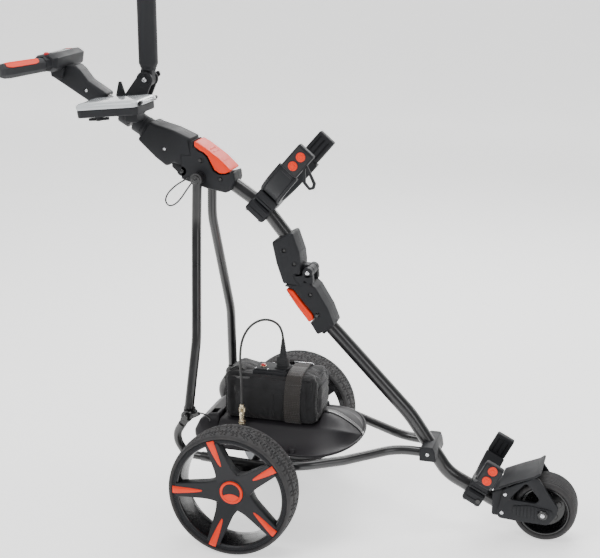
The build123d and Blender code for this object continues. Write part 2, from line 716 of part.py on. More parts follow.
def pad_discs(yoke, side):
    """Two round caps on a pad's outer face."""
    plane = yoke_plane(yoke["point"], yoke["slope"])
    face = Plane(origin=plane.from_local_coords((side * (PAD_IN + PAD_THICK), yoke["end"] + yoke["pad"] / 2, 0)),
                 x_dir=plane.y_dir, z_dir=(0, side, 0))
    discs = []
    for place in (-13.5, 13.5):
        with BuildPart() as disc:
            with BuildSketch(face):
                with Locations((place, 0)):
                    Circle(10.5)
            extrude(amount=3)
            chamfer(disc.faces().sort_by(Axis.Y)[-1 if side > 0 else 0].edges(), 0.8)
        discs.append(disc.part)
    return discs


def strap_hook():
    """Flat loop that hangs from the right-hand upper pad."""
    outline = [(113, 852), (122, 851), (141, 812), (138, 800), (126, 797), (112, 812)]
    opening = [(117, 845), (120, 844), (134, 811), (132, 804), (127, 803), (118, 814)]
    with BuildPart() as hook:
        add(slab(outline, -90, -84))
        add(slab(opening, -91, -83), mode=Mode.SUBTRACT)
        add(pad_box(UPPER_YOKE, -1), mode=Mode.SUBTRACT)
    return hook.part.solids().sort_by(SortBy.VOLUME)[-1]


save(bag_bracket(UPPER_YOKE), "upper_bag_bracket")
save(bag_bracket(LOWER_YOKE), "lower_bag_bracket")
save(Compound(children=[pad_box(UPPER_YOKE, -1), pad_box(UPPER_YOKE, 1), strap_hook()]), "upper_bag_pads")
save(Compound(children=[pad_box(LOWER_YOKE, -1), pad_box(LOWER_YOKE, 1)]), "lower_bag_pads")
save(Compound(children=pad_discs(UPPER_YOKE, -1) + pad_discs(UPPER_YOKE, 1)), "upper_pad_discs")
save(Compound(children=pad_discs(LOWER_YOKE, -1) + pad_discs(LOWER_YOKE, 1)), "lower_pad_discs")


# ---------------------------------------------------------------- the fold under the handle
FOLD_HOUSING = [(-171, 886), (-141, 870), (-102, 843), (-84, 826), (-68, 812), (-66, 794), (-78, 770), (-89, 765),
                (-134, 773), (-190, 790), (-193.6, 793), (-193.6, 848), (-171, 848)]
HANDLE_HOUSING = [(-268, 922), (-256, 916), (-215, 905), (-171.8, 887), (-171.8, 848.8), (-194.4, 848.8), (-194.4, 797),
                  (-207, 804), (-233, 821), (-258, 839), (-287, 866), (-301, 879)]
LATCH_TOP = [(-157, 880), (-141, 871), (-102, 844), (-84, 827), (-74, 818.5), (-84, 815), (-96, 820), (-108, 838),
             (-124, 856), (-146, 868)]
LATCH_TOP_POCKET = [(-161, 884), (-141, 880), (-95, 850), (-66, 816), (-85, 810.5), (-99.5, 816), (-111.5, 834),
                    (-127, 851.5), (-149, 863.5), (-162, 876)]


def round_long_edges(part, z_min, z_max, radius):
    """Rounds the long edges where a housing's sides meet its top and bottom."""
    with BuildPart() as rounded:
        add(part)
        rim = rounded.edges().filter_by(lambda e: abs(abs(e.center().Y) - SHELL_HALF) < 0.5 and e.length > 17)
        rim = rim.filter_by(lambda e: z_min < e.center().Z < z_max)
        fillet(rim, radius)
    return rounded.part


def fold_housing():
    """Half of the upper housing on the frame's side, with the two outer knuckles."""
    with BuildPart() as housing:
        add(slab(FOLD_HOUSING, -SHELL_HALF, SHELL_HALF))
        for y_from, y_to in ((-SHELL_HALF, -HINGE_HALF - 0.4), (HINGE_HALF + 0.4, SHELL_HALF)):
            add(y_cylinder(HANDLE_PIVOT, KNUCKLE_R, y_from, y_to))
        add(y_cylinder(HANDLE_PIVOT, KNUCKLE_R + 0.6, -HINGE_HALF - 0.4, HINGE_HALF + 0.4), mode=Mode.SUBTRACT)
        add(slab([(-215, 811), (-180, 811), (-180, 770), (-215, 770)], -HINGE_HALF - 0.4, HINGE_HALF + 0.4),
            mode=Mode.SUBTRACT)
        add(y_cylinder(HANDLE_PIVOT, 4.0, -40, 40), mode=Mode.SUBTRACT)
        add(y_cylinder(STRUT_TOP, 5.0, -40, 40), mode=Mode.SUBTRACT)
        add(slab(LATCH_TOP_POCKET, -40, 40), mode=Mode.SUBTRACT)
        add(bent_tube(UPPER_SPINE_ROUTE, [190], SPINE_R), mode=Mode.SUBTRACT)
    return housing.part.solids().sort_by(SortBy.VOLUME)[-1]


def handle_housing():
    """Half of the upper housing on the handle's side, with the middle knuckle."""
    with BuildPart() as housing:
        add(slab(HANDLE_HOUSING, -SHELL_HALF, SHELL_HALF))
        add(y_cylinder(HANDLE_PIVOT, 26.0, -40, 40), mode=Mode.SUBTRACT)
        add(slab([(-194.4, 822), (-194.4, 845), (-225, 845), (-225, 822)], -SHELL_HALF, SHELL_HALF))
        add(y_cylinder(HANDLE_PIVOT, KNUCKLE_R + 0.6, -40, 40), mode=Mode.SUBTRACT)
        add(slab([(-193, 799), (-222, 812), (-222, 835), (-193, 823)], -HINGE_HALF, HINGE_HALF))
        add(y_cylinder(HANDLE_PIVOT, KNUCKLE_R, -HINGE_HALF, HINGE_HALF))
        add(y_cylinder(HANDLE_PIVOT, 4 + RUN, -40, 40), mode=Mode.SUBTRACT)
        add(bent_stem(STEM_R), mode=Mode.SUBTRACT)
    return housing.part.solids().sort_by(SortBy.VOLUME)[-1]


STEM_FROM = (-240.0, 874.0)
STEM_TO = (-418.0, 980.0)


def bent_stem(radius, hole=0.0):
    """The straight handle stem, as a bar or a tube."""
    start = Vector(fwd(STEM_FROM[0]), 0, STEM_FROM[1])
    end = Vector(fwd(STEM_TO[0]), 0, STEM_TO[1])
    with BuildPart() as stem:
        with BuildSketch(Plane(origin=start, z_dir=end - start)):
            Circle(radius)
            if hole:
                Circle(hole, mode=Mode.SUBTRACT)
        extrude(amount=(end - start).length)
    return stem.part


save(fold_housing(), "fold_housing")
save(handle_housing(), "handle_housing")
save(slab(LATCH_TOP, -SHELL_HALF, SHELL_HALF), "upper_latch")
save(bent_stem(STEM_R, STEM_R - 2), "handle_stem")

UPPER_CABLE_ROUTE = [(-176, -31.2, 797), (-192, -37, 788), (-210, -41, 775), (-225, -44, 759), (-230, -47, 742),
                     (-219, -50, 731), (-203, -52, 737), (-188, -53, 752), (-176, -53, 770), (-161.8, -53, 789)]


# ---------------------------------------------------------------- struts
def strut(side):
    """Tube with an eye on the housing's pin and an open foot that hooks over the clamp bolt."""
    foot_y = side * STRUT_FOOT_Y
    top_y = side * STRUT_TOP_Y
    route = [frame_point(-149, top_y, 793), frame_point(-152, side * 53, 690), frame_point(-133, side * 120, 440),
             frame_point(-143, foot_y, 276)]
    with BuildPart() as tube:
        add(bent_tube(route, [160, 260], STRUT_R))
        add(y_cylinder(STRUT_TOP, 14.0, *sorted((side * (SHELL_HALF + 1), top_y + side * 9))))
        add(y_cylinder(STRUT_TOP, 5 + RUN, -70, 70), mode=Mode.SUBTRACT)
    with BuildPart() as foot:
        with Locations((fwd(-143), foot_y, 250)):
            Box(60, 60, 70)
    with BuildPart() as whole:
        add(tube.part)
        add(foot.part, mode=Mode.SUBTRACT)
        add(y_cylinder(STRUT_FOOT, 13.0, foot_y - 5.5, foot_y + 5.5))
        add(slab([(-155, 272), (-152, 290), (-134, 290), (-131, 272)], foot_y - 5.5, foot_y + 5.5))
        add(slab([(-147.3, 269), (-157, 240), (-123, 240), (-138.7, 269)], foot_y - 6, foot_y + 6), mode=Mode.SUBTRACT)
        add(y_cylinder(STRUT_FOOT, 4.3, foot_y - 6, foot_y + 6), mode=Mode.SUBTRACT)
    return whole.part.solids().sort_by(SortBy.VOLUME)[-1]


save(strut(-1), "strut_right")
save(strut(1), "strut_left")


# ---------------------------------------------------------------- handle head
NECK = [(-512, 1014), (-478, 994), (-430, 965), (-396, 944), (-375, 979), (-422, 1008), (-441, 1032), (-452, 1042),
        (-505, 1040)]
CONSOLE = [(-520, 1034), (-530, 1060), (-522, 1068), (-484, 1073), (-470, 1064), (-474, 1040), (-486, 1031)]
CONSOLE_HALF = 80.0
GRIP_ROOT = (-498.0, 80.0, 1050.0)
GRIP_END = (-566.0, 168.0, 1041.0)


def handle_neck():
    with BuildPart() as neck:
        add(slab(NECK, -23, 23))
        rim = neck.edges().filter_by(lambda e: abs(abs(e.center().Y) - 23) < 0.5)
        chamfer(rim, 5)
        add(bent_stem(STEM_R), mode=Mode.SUBTRACT)
        add(slab(CONSOLE, -CONSOLE_HALF, CONSOLE_HALF), mode=Mode.SUBTRACT)
    return neck.part.solids().sort_by(SortBy.VOLUME)[-1]


BUTTON_AT = (-500.0, -66.0)
BUTTON_R = 6.0


def console():
    """Control head: a wedge across the handle with a recessed window and a button well."""
    with BuildPart() as head:
        add(slab(CONSOLE, -CONSOLE_HALF, CONSOLE_HALF))
        fillet(head.edges().filter_by(Axis.Y), 4)
        with BuildSketch(Plane(origin=(fwd(-503), 8, 1071.3), x_dir=(0.9915, 0, 0.13), z_dir=(-0.13, 0, 0.9915))):
            RectangleRounded(28, 70, 4)
        extrude(amount=-2.4, mode=Mode.SUBTRACT)
        with Locations((fwd(BUTTON_AT[0]), BUTTON_AT[1], 1066)):
            Cylinder(BUTTON_R + 0.4, 20, mode=Mode.SUBTRACT)
    return head.part


def power_button():
    with BuildPart() as button:
        with Locations((fwd(BUTTON_AT[0]), BUTTON_AT[1], 1069)):
            Cylinder(BUTTON_R, 12)
        chamfer(button.faces().sort_by(Axis.Z)[-1].edges(), 1.2)
    return button.part


def grip_plane(side, share):
    """Section plane part of the way along a grip."""
    root = Vector(fwd(GRIP_ROOT[0]), side * GRIP_ROOT[1], GRIP_ROOT[2])
    end = Vector(fwd(GRIP_END[0]), side * GRIP_END[1], GRIP_END[2])
    return Plane(origin=root + (end - root) * share, x_dir=(0, 0, 1), z_dir=end - root)


def grip(side):
    """Soft grip that sweeps back and droops a little from the console's end."""
    with BuildPart() as body:
        for share, tall, deep in ((0.0, 28, 30), (0.2, 30, 33), (0.8, 34, 36), (1.0, 26, 28)):
            with BuildSketch(grip_plane(side, share)):
                RectangleRounded(tall, deep, 9)
        loft()
        add(slab([(-600, 1000), (-600, 1100), (-440, 1100), (-440, 1000)], -CONSOLE_HALF - 0.1, CONSOLE_HALF + 0.1),
            mode=Mode.SUBTRACT)
    return body.part


def grip_inlay(side):
    """Coloured pad on a grip's upper face."""
    root = Vector(fwd(GRIP_ROOT[0]), side * GRIP_ROOT[1], GRIP_ROOT[2])
    end = Vector(fwd(GRIP_END[0]), side * GRIP_END[1], GRIP_END[2])
    along = (end - root).normalized()
    across = along.cross(Vector(0, 0, 1)).normalized()
    up = across.cross(along)
    centre = root + (end - root) * 0.5 + up * 16.4
    with BuildPart() as inlay:
        with BuildSketch(Plane(origin=centre, x_dir=along, z_dir=up)):
            RectangleRounded(66, 22, 6)
        extrude(amount=1.6)
    return inlay.part


grips = []
inlays = []
for side in (-1, 1):
    with BuildPart() as soft_grip:
        add(grip(side))
        add(grip_inlay(side), mode=Mode.SUBTRACT)
    grips.append(soft_grip.part.solids().sort_by(SortBy.VOLUME)[-1])
    inlays.append(grip_inlay(side))
save(handle_neck(), "handle_neck")
save(console(), "console")
save(power_button(), "power_button")
save(Compound(children=grips), "grips")
save(Compound(children=inlays), "grip_inlays")


# ---------------------------------------------------------------- umbrella holder and scorecard holder
UMBRELLA_X = -279.0
UMBRELLA_TOP = 1226.0
UMBRELLA_BORE = 19.0


def umbrella_holder():
    """Tube with a necked foot and the lug that tilts between the clamp's ears."""
    with BuildPart() as holder:
        for z_from, z_to, radius in ((1034, 1040, 17), (1040, 1048, 19.5), (1048, UMBRELLA_TOP, 22)):
            with BuildSketch(Plane(origin=(fwd(UMBRELLA_X), 0, z_from))):
                Circle(radius)
            extrude(amount=z_to - z_from)
        add(slab([(-297, 1014), (-294, 1036), (-266, 1036), (-268, 1010)], -12, 12))
        add(y_cylinder(UMBRELLA_PIVOT, 17.0, -12, 12))
        with BuildSketch(Plane(origin=(fwd(UMBRELLA_X), 0, 1060))):
            Circle(UMBRELLA_BORE)
        extrude(amount=UMBRELLA_TOP - 1059, mode=Mode.SUBTRACT)
        add(y_cylinder(UMBRELLA_PIVOT, 4 + RUN, -20, 20), mode=Mode.SUBTRACT)
    return holder.part


def stem_point(share):
    return (STEM_FROM[0] + (STEM_TO[0] - STEM_FROM[0]) * share, STEM_FROM[1] + (STEM_TO[1] - STEM_FROM[1]) * share)


def stem_clamp(share, half_length, radius):
    """Ring round the stem, part of the way along it."""
    point = stem_point(share)
    heading = Vector(STEM_TO[0] - STEM_FROM[0], 0, STEM_TO[1] - STEM_FROM[1])
    with BuildPart() as ring:
        with BuildSketch(Plane(origin=(fwd(point[0]), 0, point[1]), z_dir=heading)):
            Circle(radius)
        extrude(amount=half_length, both=True)
    return ring.part


def umbrella_clamp():
    """Ring on the stem with two upright ears for the umbrella tube's lug, and the wing knob's bolt."""
    with BuildPart() as clamp:
        add(stem_clamp(0.52, 14, 24))
        for y_from, y_to in ((-20, -12.5), (12.5, 20)):
            add(slab([(-350, 956), (-299, 1023), (-268, 1002), (-300, 930)], y_from, y_to))
            add(y_cylinder(UMBRELLA_PIVOT, 19.4, y_from, y_to))
        add(slab([(-352, 956), (-338, 972), (-300, 950), (-312, 930)], -20, 20))
        add(bent_stem(STEM_R), mode=Mode.SUBTRACT)
        add(y_cylinder(UMBRELLA_PIVOT, 4.0, -40, 40), mode=Mode.SUBTRACT)
        for turn in range(5):
            angle = radians(90 + 72 * turn)
            spot = (UMBRELLA_PIVOT[0] + 12 * cos(angle), UMBRELLA_PIVOT[1] + 12 * sin(angle))
            add(y_cylinder(spot, 4.2, -21, -17), mode=Mode.SUBTRACT)
    return clamp.part.solids().sort_by(SortBy.VOLUME)[-1]


def wing_bolt():
    """Bolt through the umbrella lug with a two-winged knob on its far end."""
    with BuildPart() as bolt:
        add(y_cylinder(UMBRELLA_PIVOT, 4.0, -21, 24))
        add(y_cylinder(UMBRELLA_PIVOT, 7.0, -23.5, -20.1))
        add(y_cylinder(UMBRELLA_PIVOT, 8.0, 20.1, 34))
        for angle in (25, 205):
            spot = (UMBRELLA_PIVOT[0] + 15 * cos(radians(angle)), UMBRELLA_PIVOT[1] + 15 * sin(radians(angle)))
            add(y_cylinder(spot, 8.0, 25, 32))
    return bolt.part


CARD_TILT = 5.7            # degrees that the card holder rises towards the front
CARD_CENTRE = (-324.0, -92.0, 972.0)
CARD_LONG = 150.0
CARD_WIDE = 116.0
HINGE_OUT = 80.0           # lid hinge, forward of the holder's middle


def card_plane(height=0.0):
    angle = radians(CARD_TILT)
    normal = Vector(-sin(angle), 0, cos(angle))
    origin = Vector(fwd(CARD_CENTRE[0]), CARD_CENTRE[1], CARD_CENTRE[2]) + normal * height
    return Plane(origin=origin, x_dir=(cos(angle), 0, sin(angle)), z_dir=normal)


def card_barrel(radius, y_from, y_to):
    """Round bar on the lid's hinge line, y measured from the holder's middle."""
    plane = card_plane()
    start = plane.from_local_coords((HINGE_OUT, y_from, 1.0))
    with BuildPart() as barrel:
        with BuildSketch(Plane(origin=start, x_dir=(1, 0, 0), z_dir=(0, 1, 0))):
            Circle(radius)
        extrude(amount=y_to - y_from)
    return barrel.part


def card_tray():
    """Shallow tray with a rim, two hinge ears, the hinge pin and the arm to its clamp on the stem."""
    with BuildPart() as tray:
        with BuildSketch(card_plane(-0.3)):
            RectangleRounded(CARD_LONG, CARD_WIDE, 14)
        extrude(amount=-24, taper=6)
        with BuildSketch(card_plane(0)):
            RectangleRounded(CARD_LONG - 8, CARD_WIDE - 8, 11)
        extrude(amount=-5, mode=Mode.SUBTRACT)
        with BuildSketch(card_plane(-9)):
            with Locations((20, 42)):
                Rectangle(40, 56)
        extrude(amount=-12)
        for y_from, y_to in ((-48, -38), (38, 48)):
            add(card_barrel(4.0, y_from, y_to))
            with BuildSketch(card_plane(-6)):
                with Locations((HINGE_OUT - 5, (y_from + y_to) / 2)):
                    Rectangle(8, 10)
            extrude(amount=6)
        add(card_barrel(1.5, -48, 48))
        add(bent_stem(STEM_R), mode=Mode.SUBTRACT)
        add(bent_stem(STEM_R + 12), mode=Mode.SUBTRACT)
    return tray.part.solids().sort_by(SortBy.VOLUME)[-1]


def card_lid():
    """Domed clear lid with two hinge barrels on the tray's pin."""
    with BuildPart() as lid:
        with BuildSketch(card_plane(0.3)):
            RectangleRounded(CARD_LONG, CARD_WIDE, 14)
        extrude(amount=9, taper=32)
        with BuildSketch(card_plane(0.2)):
            RectangleRounded(CARD_LONG - 8, CARD_WIDE - 8, 11)
        extrude(amount=6.5, taper=32, mode=Mode.SUBTRACT)
        for y_from, y_to in ((-37, -27), (27, 37)):
            with BuildSketch(card_plane(0.5)):
                with Locations((HINGE_OUT - 5, (y_from + y_to) / 2)):
                    Rectangle(9, 10)
            extrude(amount=3)
            add(card_barrel(4.0, y_from, y_to))
            add(card_barrel(1.5 + RUN, y_from - 1, y_to + 1), mode=Mode.SUBTRACT)
    return lid.part


def card_clamp():
    """Ring on the stem that carries the tray's arm, with a wing knob below."""
    with BuildPart() as clamp:
        add(stem_clamp(0.35, 11, 24))
        add(slab([(-318, 920), (-318, 951), (-288, 951), (-288, 920)], -58, -16))
        add(bent_stem(STEM_R), mode=Mode.SUBTRACT)
        add(card_block(), mode=Mode.SUBTRACT)
    return clamp.part.solids().sort_by(SortBy.VOLUME)[-1]


def card_block():
    """The space that the tray takes up."""
    with BuildPart() as block:
        with BuildSketch(card_plane(40)):
            Rectangle(CARD_LONG + 20, CARD_WIDE + 20)
        extrude(amount=-64.3 - 0.2)
    return block.part


def tray_knob():
    """Two-winged knob under the tray."""
    with BuildPart() as knob:
        with BuildSketch(card_plane(-24.5)):
            with Locations((-40, -10)):
                Circle(8)
        extrude(amount=-13)
        with BuildSketch(card_plane(-30)):
            for x in (-54, -26):
                with Locations((x, -10)):
                    Circle(8)
            with Locations((-40, -10)):
                Rectangle(28, 9)
        extrude(amount=-7)
    return knob.part


save(umbrella_holder(), "umbrella_tube")
save(Compound(children=[umbrella_clamp(), card_clamp(), wing_bolt(), tray_knob()]), "accessory_clamps")
save(card_tray(), "scorecard_tray")
save(card_lid(), "scorecard_lid")


# ---------------------------------------------------------------- control cables
save(cord_tube([frame_point(*p) for p in UPPER_CABLE_ROUTE], CONTROL_R, "upper_control_cable"), "upper_control_cable")
save(cord_tube([frame_point(*p) for p in LOWER_CABLE_ROUTE], CONTROL_R, "lower_control_cable"), "lower_control_cable")


# ---------------------------------------------------------------- pins and screws
def screw(point, y_face, side, radius=3.6, depth=1.8):
    """Screw head that stands on a side face."""
    return y_cylinder(point, radius, *sorted((side * y_face, side * (y_face + depth))))


chassis_fasteners = [y_cylinder((FRONT_X, FRONT_R), FRONT_AXLE_R, -58, 58), y_cylinder(FOLD_PIVOT, 4.0, -30, 30)]
chassis_fasteners += [screw((512, 76), 27, side, 5.5, 3) for side in (-1, 1)]
chassis_fasteners += [screw((128, 492), SHELL_HALF, side) for side in (-1, 1)]
save(Compound(children=chassis_fasteners), "chassis_fasteners")

frame_fasteners = [y_cylinder(HANDLE_PIVOT, 4.0, -30, 30), y_cylinder(STRUT_TOP, 5.0, -62, 62)]
frame_fasteners += [screw(spot, SHELL_HALF, side) for spot in ((-148, 838), (-100, 797)) for side in (-1, 1)]
save(Compound(children=frame_fasteners), "frame_fasteners")
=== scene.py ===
from math import acos, cos, floor, pi, radians, sin, sqrt, tan

import bmesh
import bpy
from mathutils import Matrix, Vector, noise
from mathutils.bvhtree import BVHTree


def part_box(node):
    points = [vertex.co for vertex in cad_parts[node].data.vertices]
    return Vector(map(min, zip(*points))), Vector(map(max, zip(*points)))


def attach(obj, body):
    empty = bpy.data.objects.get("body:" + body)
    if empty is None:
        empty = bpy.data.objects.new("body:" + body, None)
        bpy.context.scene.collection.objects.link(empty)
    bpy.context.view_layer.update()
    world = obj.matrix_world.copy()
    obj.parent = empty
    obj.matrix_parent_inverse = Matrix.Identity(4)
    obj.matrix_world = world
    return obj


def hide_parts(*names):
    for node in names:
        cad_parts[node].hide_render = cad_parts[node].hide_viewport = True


bl_info = {
    "name": "Electric Golf Trolley",
    "version": (1, 0, 0),
    "blender": (4, 5, 0),
    "location": "View3D > Sidebar > Trolley",
    "description": "Dresses the packed frame of an electric golf trolley with its visible pieces",
    "category": "Add Mesh",
}

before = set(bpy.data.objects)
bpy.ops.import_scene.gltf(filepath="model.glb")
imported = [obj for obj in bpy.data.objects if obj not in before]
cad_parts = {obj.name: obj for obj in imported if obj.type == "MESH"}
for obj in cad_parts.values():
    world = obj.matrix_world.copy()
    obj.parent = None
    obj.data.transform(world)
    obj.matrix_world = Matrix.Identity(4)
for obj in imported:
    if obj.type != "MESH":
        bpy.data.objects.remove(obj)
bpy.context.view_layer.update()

# Every size below is in millimetres: x forward of the rear axle, y to the left, z up from the floor.
MM = 0.001


def middle(node):
    """Middle of a node's box."""
    low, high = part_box(node)
    return (low + high) / 2


AXLE = middle("drive_axle")
WHEEL_R = AXLE.z / MM
TRACK_HALF = middle("tyre_left").y / MM
FRONT = middle("front_tyre")
DECK_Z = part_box("battery_bag")[0].z / MM - 1.0


def at(x, y, z):
    """A point forward of the rear axle, to the left, and above the floor, in the frame's metres."""
    return Vector((AXLE.x + x * MM, y * MM, z * MM))


UP = Vector((0, 0, 1))
LEFT = Vector((0, 1, 0))


def sideways(side):
    """Outward to the left (1) or to the right (-1)."""
    return Vector((0, side, 0))


# ---------------------------------------------------------------- colours and nodes
def linear(code):
    """Linear red, green, blue and alpha of an sRGB hex colour."""
    parts = [int(code[i:i + 2], 16) / 255 for i in (1, 3, 5)]
    return tuple([c / 12.92 if c <= 0.04045 else ((c + 0.055) / 1.055) ** 2.4 for c in parts] + [1.0])


def put(tree, kind, inputs=None, **settings):
    """Adds one shader node; an input is a number, a colour or another node's output."""
    node = tree.nodes.new("ShaderNode" + kind)
    for key, value in settings.items():
        setattr(node, key, value)
    for key, value in (inputs or {}).items():
        if isinstance(value, bpy.types.NodeSocket):
            tree.links.new(value, node.inputs[key])
        else:
            node.inputs[key].default_value = value
    return node


def fresh(name):
    """A new material's tree and its shader."""
    material = bpy.data.materials.new(name)
    material.use_nodes = True
    tree = material.node_tree
    return material, tree, tree.nodes["Principled BSDF"]


def colour_between(tree, factor, low, high):
    """Colour that runs from low to high with a factor."""
    ramp = put(tree, "ValToRGB", {"Fac": factor})
    ramp.color_ramp.elements[0].color = low
    ramp.color_ramp.elements[1].color = high
    return ramp


def per_metre(size_mm):
    """Pattern scale whose features are about this many millimetres across."""
    return 1.0 / (size_mm * MM)


def grain(tree, shader, size_mm, height_mm, detail=3.0, strength=0.5):
    """Bump from fine noise of a real size."""
    place = put(tree, "TexCoord")
    speckle = put(tree, "TexNoise",
            {"Vector": place.outputs["Object"], "Scale": per_metre(size_mm), "Detail": detail})
    bump = put(tree, "Bump",
            {"Height": speckle.outputs["Fac"], "Distance": height_mm * MM, "Strength": strength})
    tree.links.new(bump.outputs["Normal"], shader.inputs["Normal"])
    return place


def roughness_between(tree, shader, place, size_mm, low, high):
    """Patchy roughness, as handling and dust leave it."""
    patches = put(tree, "TexNoise",
            {"Vector": place.outputs["Object"], "Scale": per_metre(size_mm), "Detail": 4.0})
    spread = put(tree, "MapRange", {"Value": patches.outputs["Fac"], "From Min": 0.3, "From Max": 0.7,
            "To Min": low, "To Max": high})
    tree.links.new(spread.outputs["Result"], shader.inputs["Roughness"])
    return patches


def fixed(shader, values):
    """Sets constants on the shader's own sockets."""
    for key, value in values.items():
        shader.inputs[key].default_value = value


def tinted(tree, shader, factor, low, high):
    """Base colour that runs from low to high with a factor."""
    ramp = colour_between(tree, factor, low, high)
    tree.links.new(ramp.outputs["Color"], shader.inputs["Base Color"])
    return ramp


def raised(tree, shader, height, height_mm, strength):
    """Bump of a real height from a pattern."""
    bump = put(tree, "Bump", {"Height": height, "Distance": height_mm * MM, "Strength": strength})
    tree.links.new(bump.outputs["Normal"], shader.inputs["Normal"])


# ---------------------------------------------------------------- materials
def powder_coated_steel():
    """Steel tube in gloss black polyester powder: a faint orange peel breaks up the highlights."""
    material, tree, shader = fresh("powder_coated_steel")
    place = grain(tree, shader, 1.6, 0.05, 2.0, 0.35)
    fixed(shader, {"Base Color": linear("#141416"), "Coat Weight": 0.5, "Coat Roughness": 0.12})
    roughness_between(tree, shader, place, 30, 0.26, 0.4)
    return material


def moulded_nylon(name="moulded_glass_filled_nylon", code="#1B1C1F", light="#232427", low=0.46, high=0.6):
    """Glass-filled nylon from a spark-eroded mould: an even satin grain, paler where it is handled."""
    material, tree, shader = fresh(name)
    place = grain(tree, shader, 0.9, 0.07, 2.0, 0.45)
    patches = roughness_between(tree, shader, place, 45, low, high)
    tinted(tree, shader, patches.outputs["Fac"], linear(code), linear(light))
    shader.inputs["Specular IOR Level"].default_value = 0.25
    return material


def polished_abs(name="polished_black_abs", code="#121214", rough=0.2):
    """ABS from a polished mould: deep gloss with faint rubbing marks."""
    material, tree, shader = fresh(name)
    place = grain(tree, shader, 14, 0.05, 1.0, 0.3)
    fixed(shader, {"Base Color": linear(code), "Coat Weight": 0.35, "Coat Roughness": 0.08})
    roughness_between(tree, shader, place, 22, rough, rough + 0.12)
    return material


def orange_abs(colour):
    """Self-coloured ABS, moulded with a light gloss: the pigment varies very little."""
    material, tree, shader = fresh("moulded_orange_abs")
    place = grain(tree, shader, 1.4, 0.03, 2.0, 0.3)
    patches = roughness_between(tree, shader, place, 18, 0.38, 0.46)
    deep = tuple(c * 0.86 for c in colour[:3]) + (1.0,)
    tinted(tree, shader, patches.outputs["Fac"], deep, tuple(colour))
    shader.inputs["Specular IOR Level"].default_value = 0.3
    return material


def tyre_rubber():
    """Carbon-black rubber with a fine moulded skin, greyed by dry dust on the worn crown."""
    material, tree, shader = fresh("moulded_tyre_rubber")
    place = grain(tree, shader, 0.8, 0.12, 4.0, 0.6)
    patches = roughness_between(tree, shader, place, 26, 0.66, 0.86)
    tint = tinted(tree, shader, patches.outputs["Fac"], linear("#232325"), linear("#3D3B3B"))
    tint.color_ramp.elements[0].position = 0.35
    tint.color_ramp.elements[1].position = 0.75
    return material


def turned_steel():
    """Ground steel bar: fine rings round the bar stretch the highlight along it."""
    material, tree, shader = fresh("ground_steel")
    place = put(tree, "TexCoord")
    stretch = put(tree, "Mapping", {"Vector": place.outputs["Object"], "Scale": (1.0, 60.0, 1.0)})
    rings = put(tree, "TexNoise",
            {"Vector": stretch.outputs["Vector"], "Scale": per_metre(8), "Detail": 3.0})
    raised(tree, shader, rings.outputs["Fac"], 0.02, 0.4)
    fixed(shader, {"Base Color": linear("#BDBDBF"), "Metallic": 1.0})
    roughness_between(tree, shader, place, 12, 0.24, 0.38)
    return material


def bright_zinc(name="bright_zinc_plate", code="#D8D9DC", rough=0.16):
    """Plated fastener: bright, a little uneven over the rolled thread and the pressed head."""
    material, tree, shader = fresh(name)
    place = grain(tree, shader, 1.2, 0.02, 2.0, 0.4)
    fixed(shader, {"Base Color": linear(code), "Metallic": 1.0})
    roughness_between(tree, shader, place, 4, rough, rough + 0.14)
    return material


def cast_aluminium():
    """Pressure die-cast aluminium: dull, with the flow marks of the die."""
    material, tree, shader = fresh("die_cast_aluminium")
    place = grain(tree, shader, 2.5, 0.12, 4.0, 0.6)
    fixed(shader, {"Base Color": linear("#8F9194"), "Metallic": 1.0})
    roughness_between(tree, shader, place, 15, 0.42, 0.58)
    return material


def natural_acetal():
    """Acetal as machined for gears: waxy off-white."""
    material, tree, shader = fresh("machined_acetal")
    place = grain(tree, shader, 1.5, 0.03, 2.0, 0.4)
    fixed(shader, {"Base Color": linear("#E6E2D6"), "Subsurface Weight": 0.1})
    roughness_between(tree, shader, place, 10, 0.34, 0.46)
    return material


def soft_touch_elastomer(name="soft_touch_elastomer", code="#1B1C1F", rough=0.6):
    """Thermoplastic elastomer over a hard core: matt, with a fine leather-like mould grain."""
    material, tree, shader = fresh(name)
    place = put(tree, "TexCoord")
    pores = put(tree, "TexVoronoi", {"Vector": place.outputs["Object"], "Scale": per_metre(1.3)},
            feature="DISTANCE_TO_EDGE")
    raised(tree, shader, pores.outputs["Distance"], 0.1, 0.5)
    patches = roughness_between(tree, shader, place, 20, rough, rough + 0.14)
    tinted(tree, shader, patches.outputs["Fac"], linear(code), linear("#26272A"))
    return material


def woven(tree, place, thread_mm):
    """Height of a plain weave on faces that look along any one axis."""
    parts = put(tree, "SeparateXYZ", {"Vector": place.outputs["Object"]})
    waves = []
    for axis in "XYZ":
        turn = put(tree, "Math", {0: parts.outputs[axis], 1: pi * per_metre(thread_mm)},
                operation="MULTIPLY")
        waves.append(put(tree, "Math", {0: turn.outputs[0]}, operation="SINE"))
    pairs = []
    for one, other in ((0, 1), (1, 2), (2, 0)):
        pairs.append(put(tree, "Math", {0: waves[one].outputs[0], 1: waves[other].outputs[0]},
                operation="MULTIPLY"))
    first = put(tree, "Math", {0: pairs[0].outputs[0], 1: pairs[1].outputs[0]}, operation="ADD")
    return put(tree, "Math", {0: first.outputs[0], 1: pairs[2].outputs[0]}, operation="ADD")


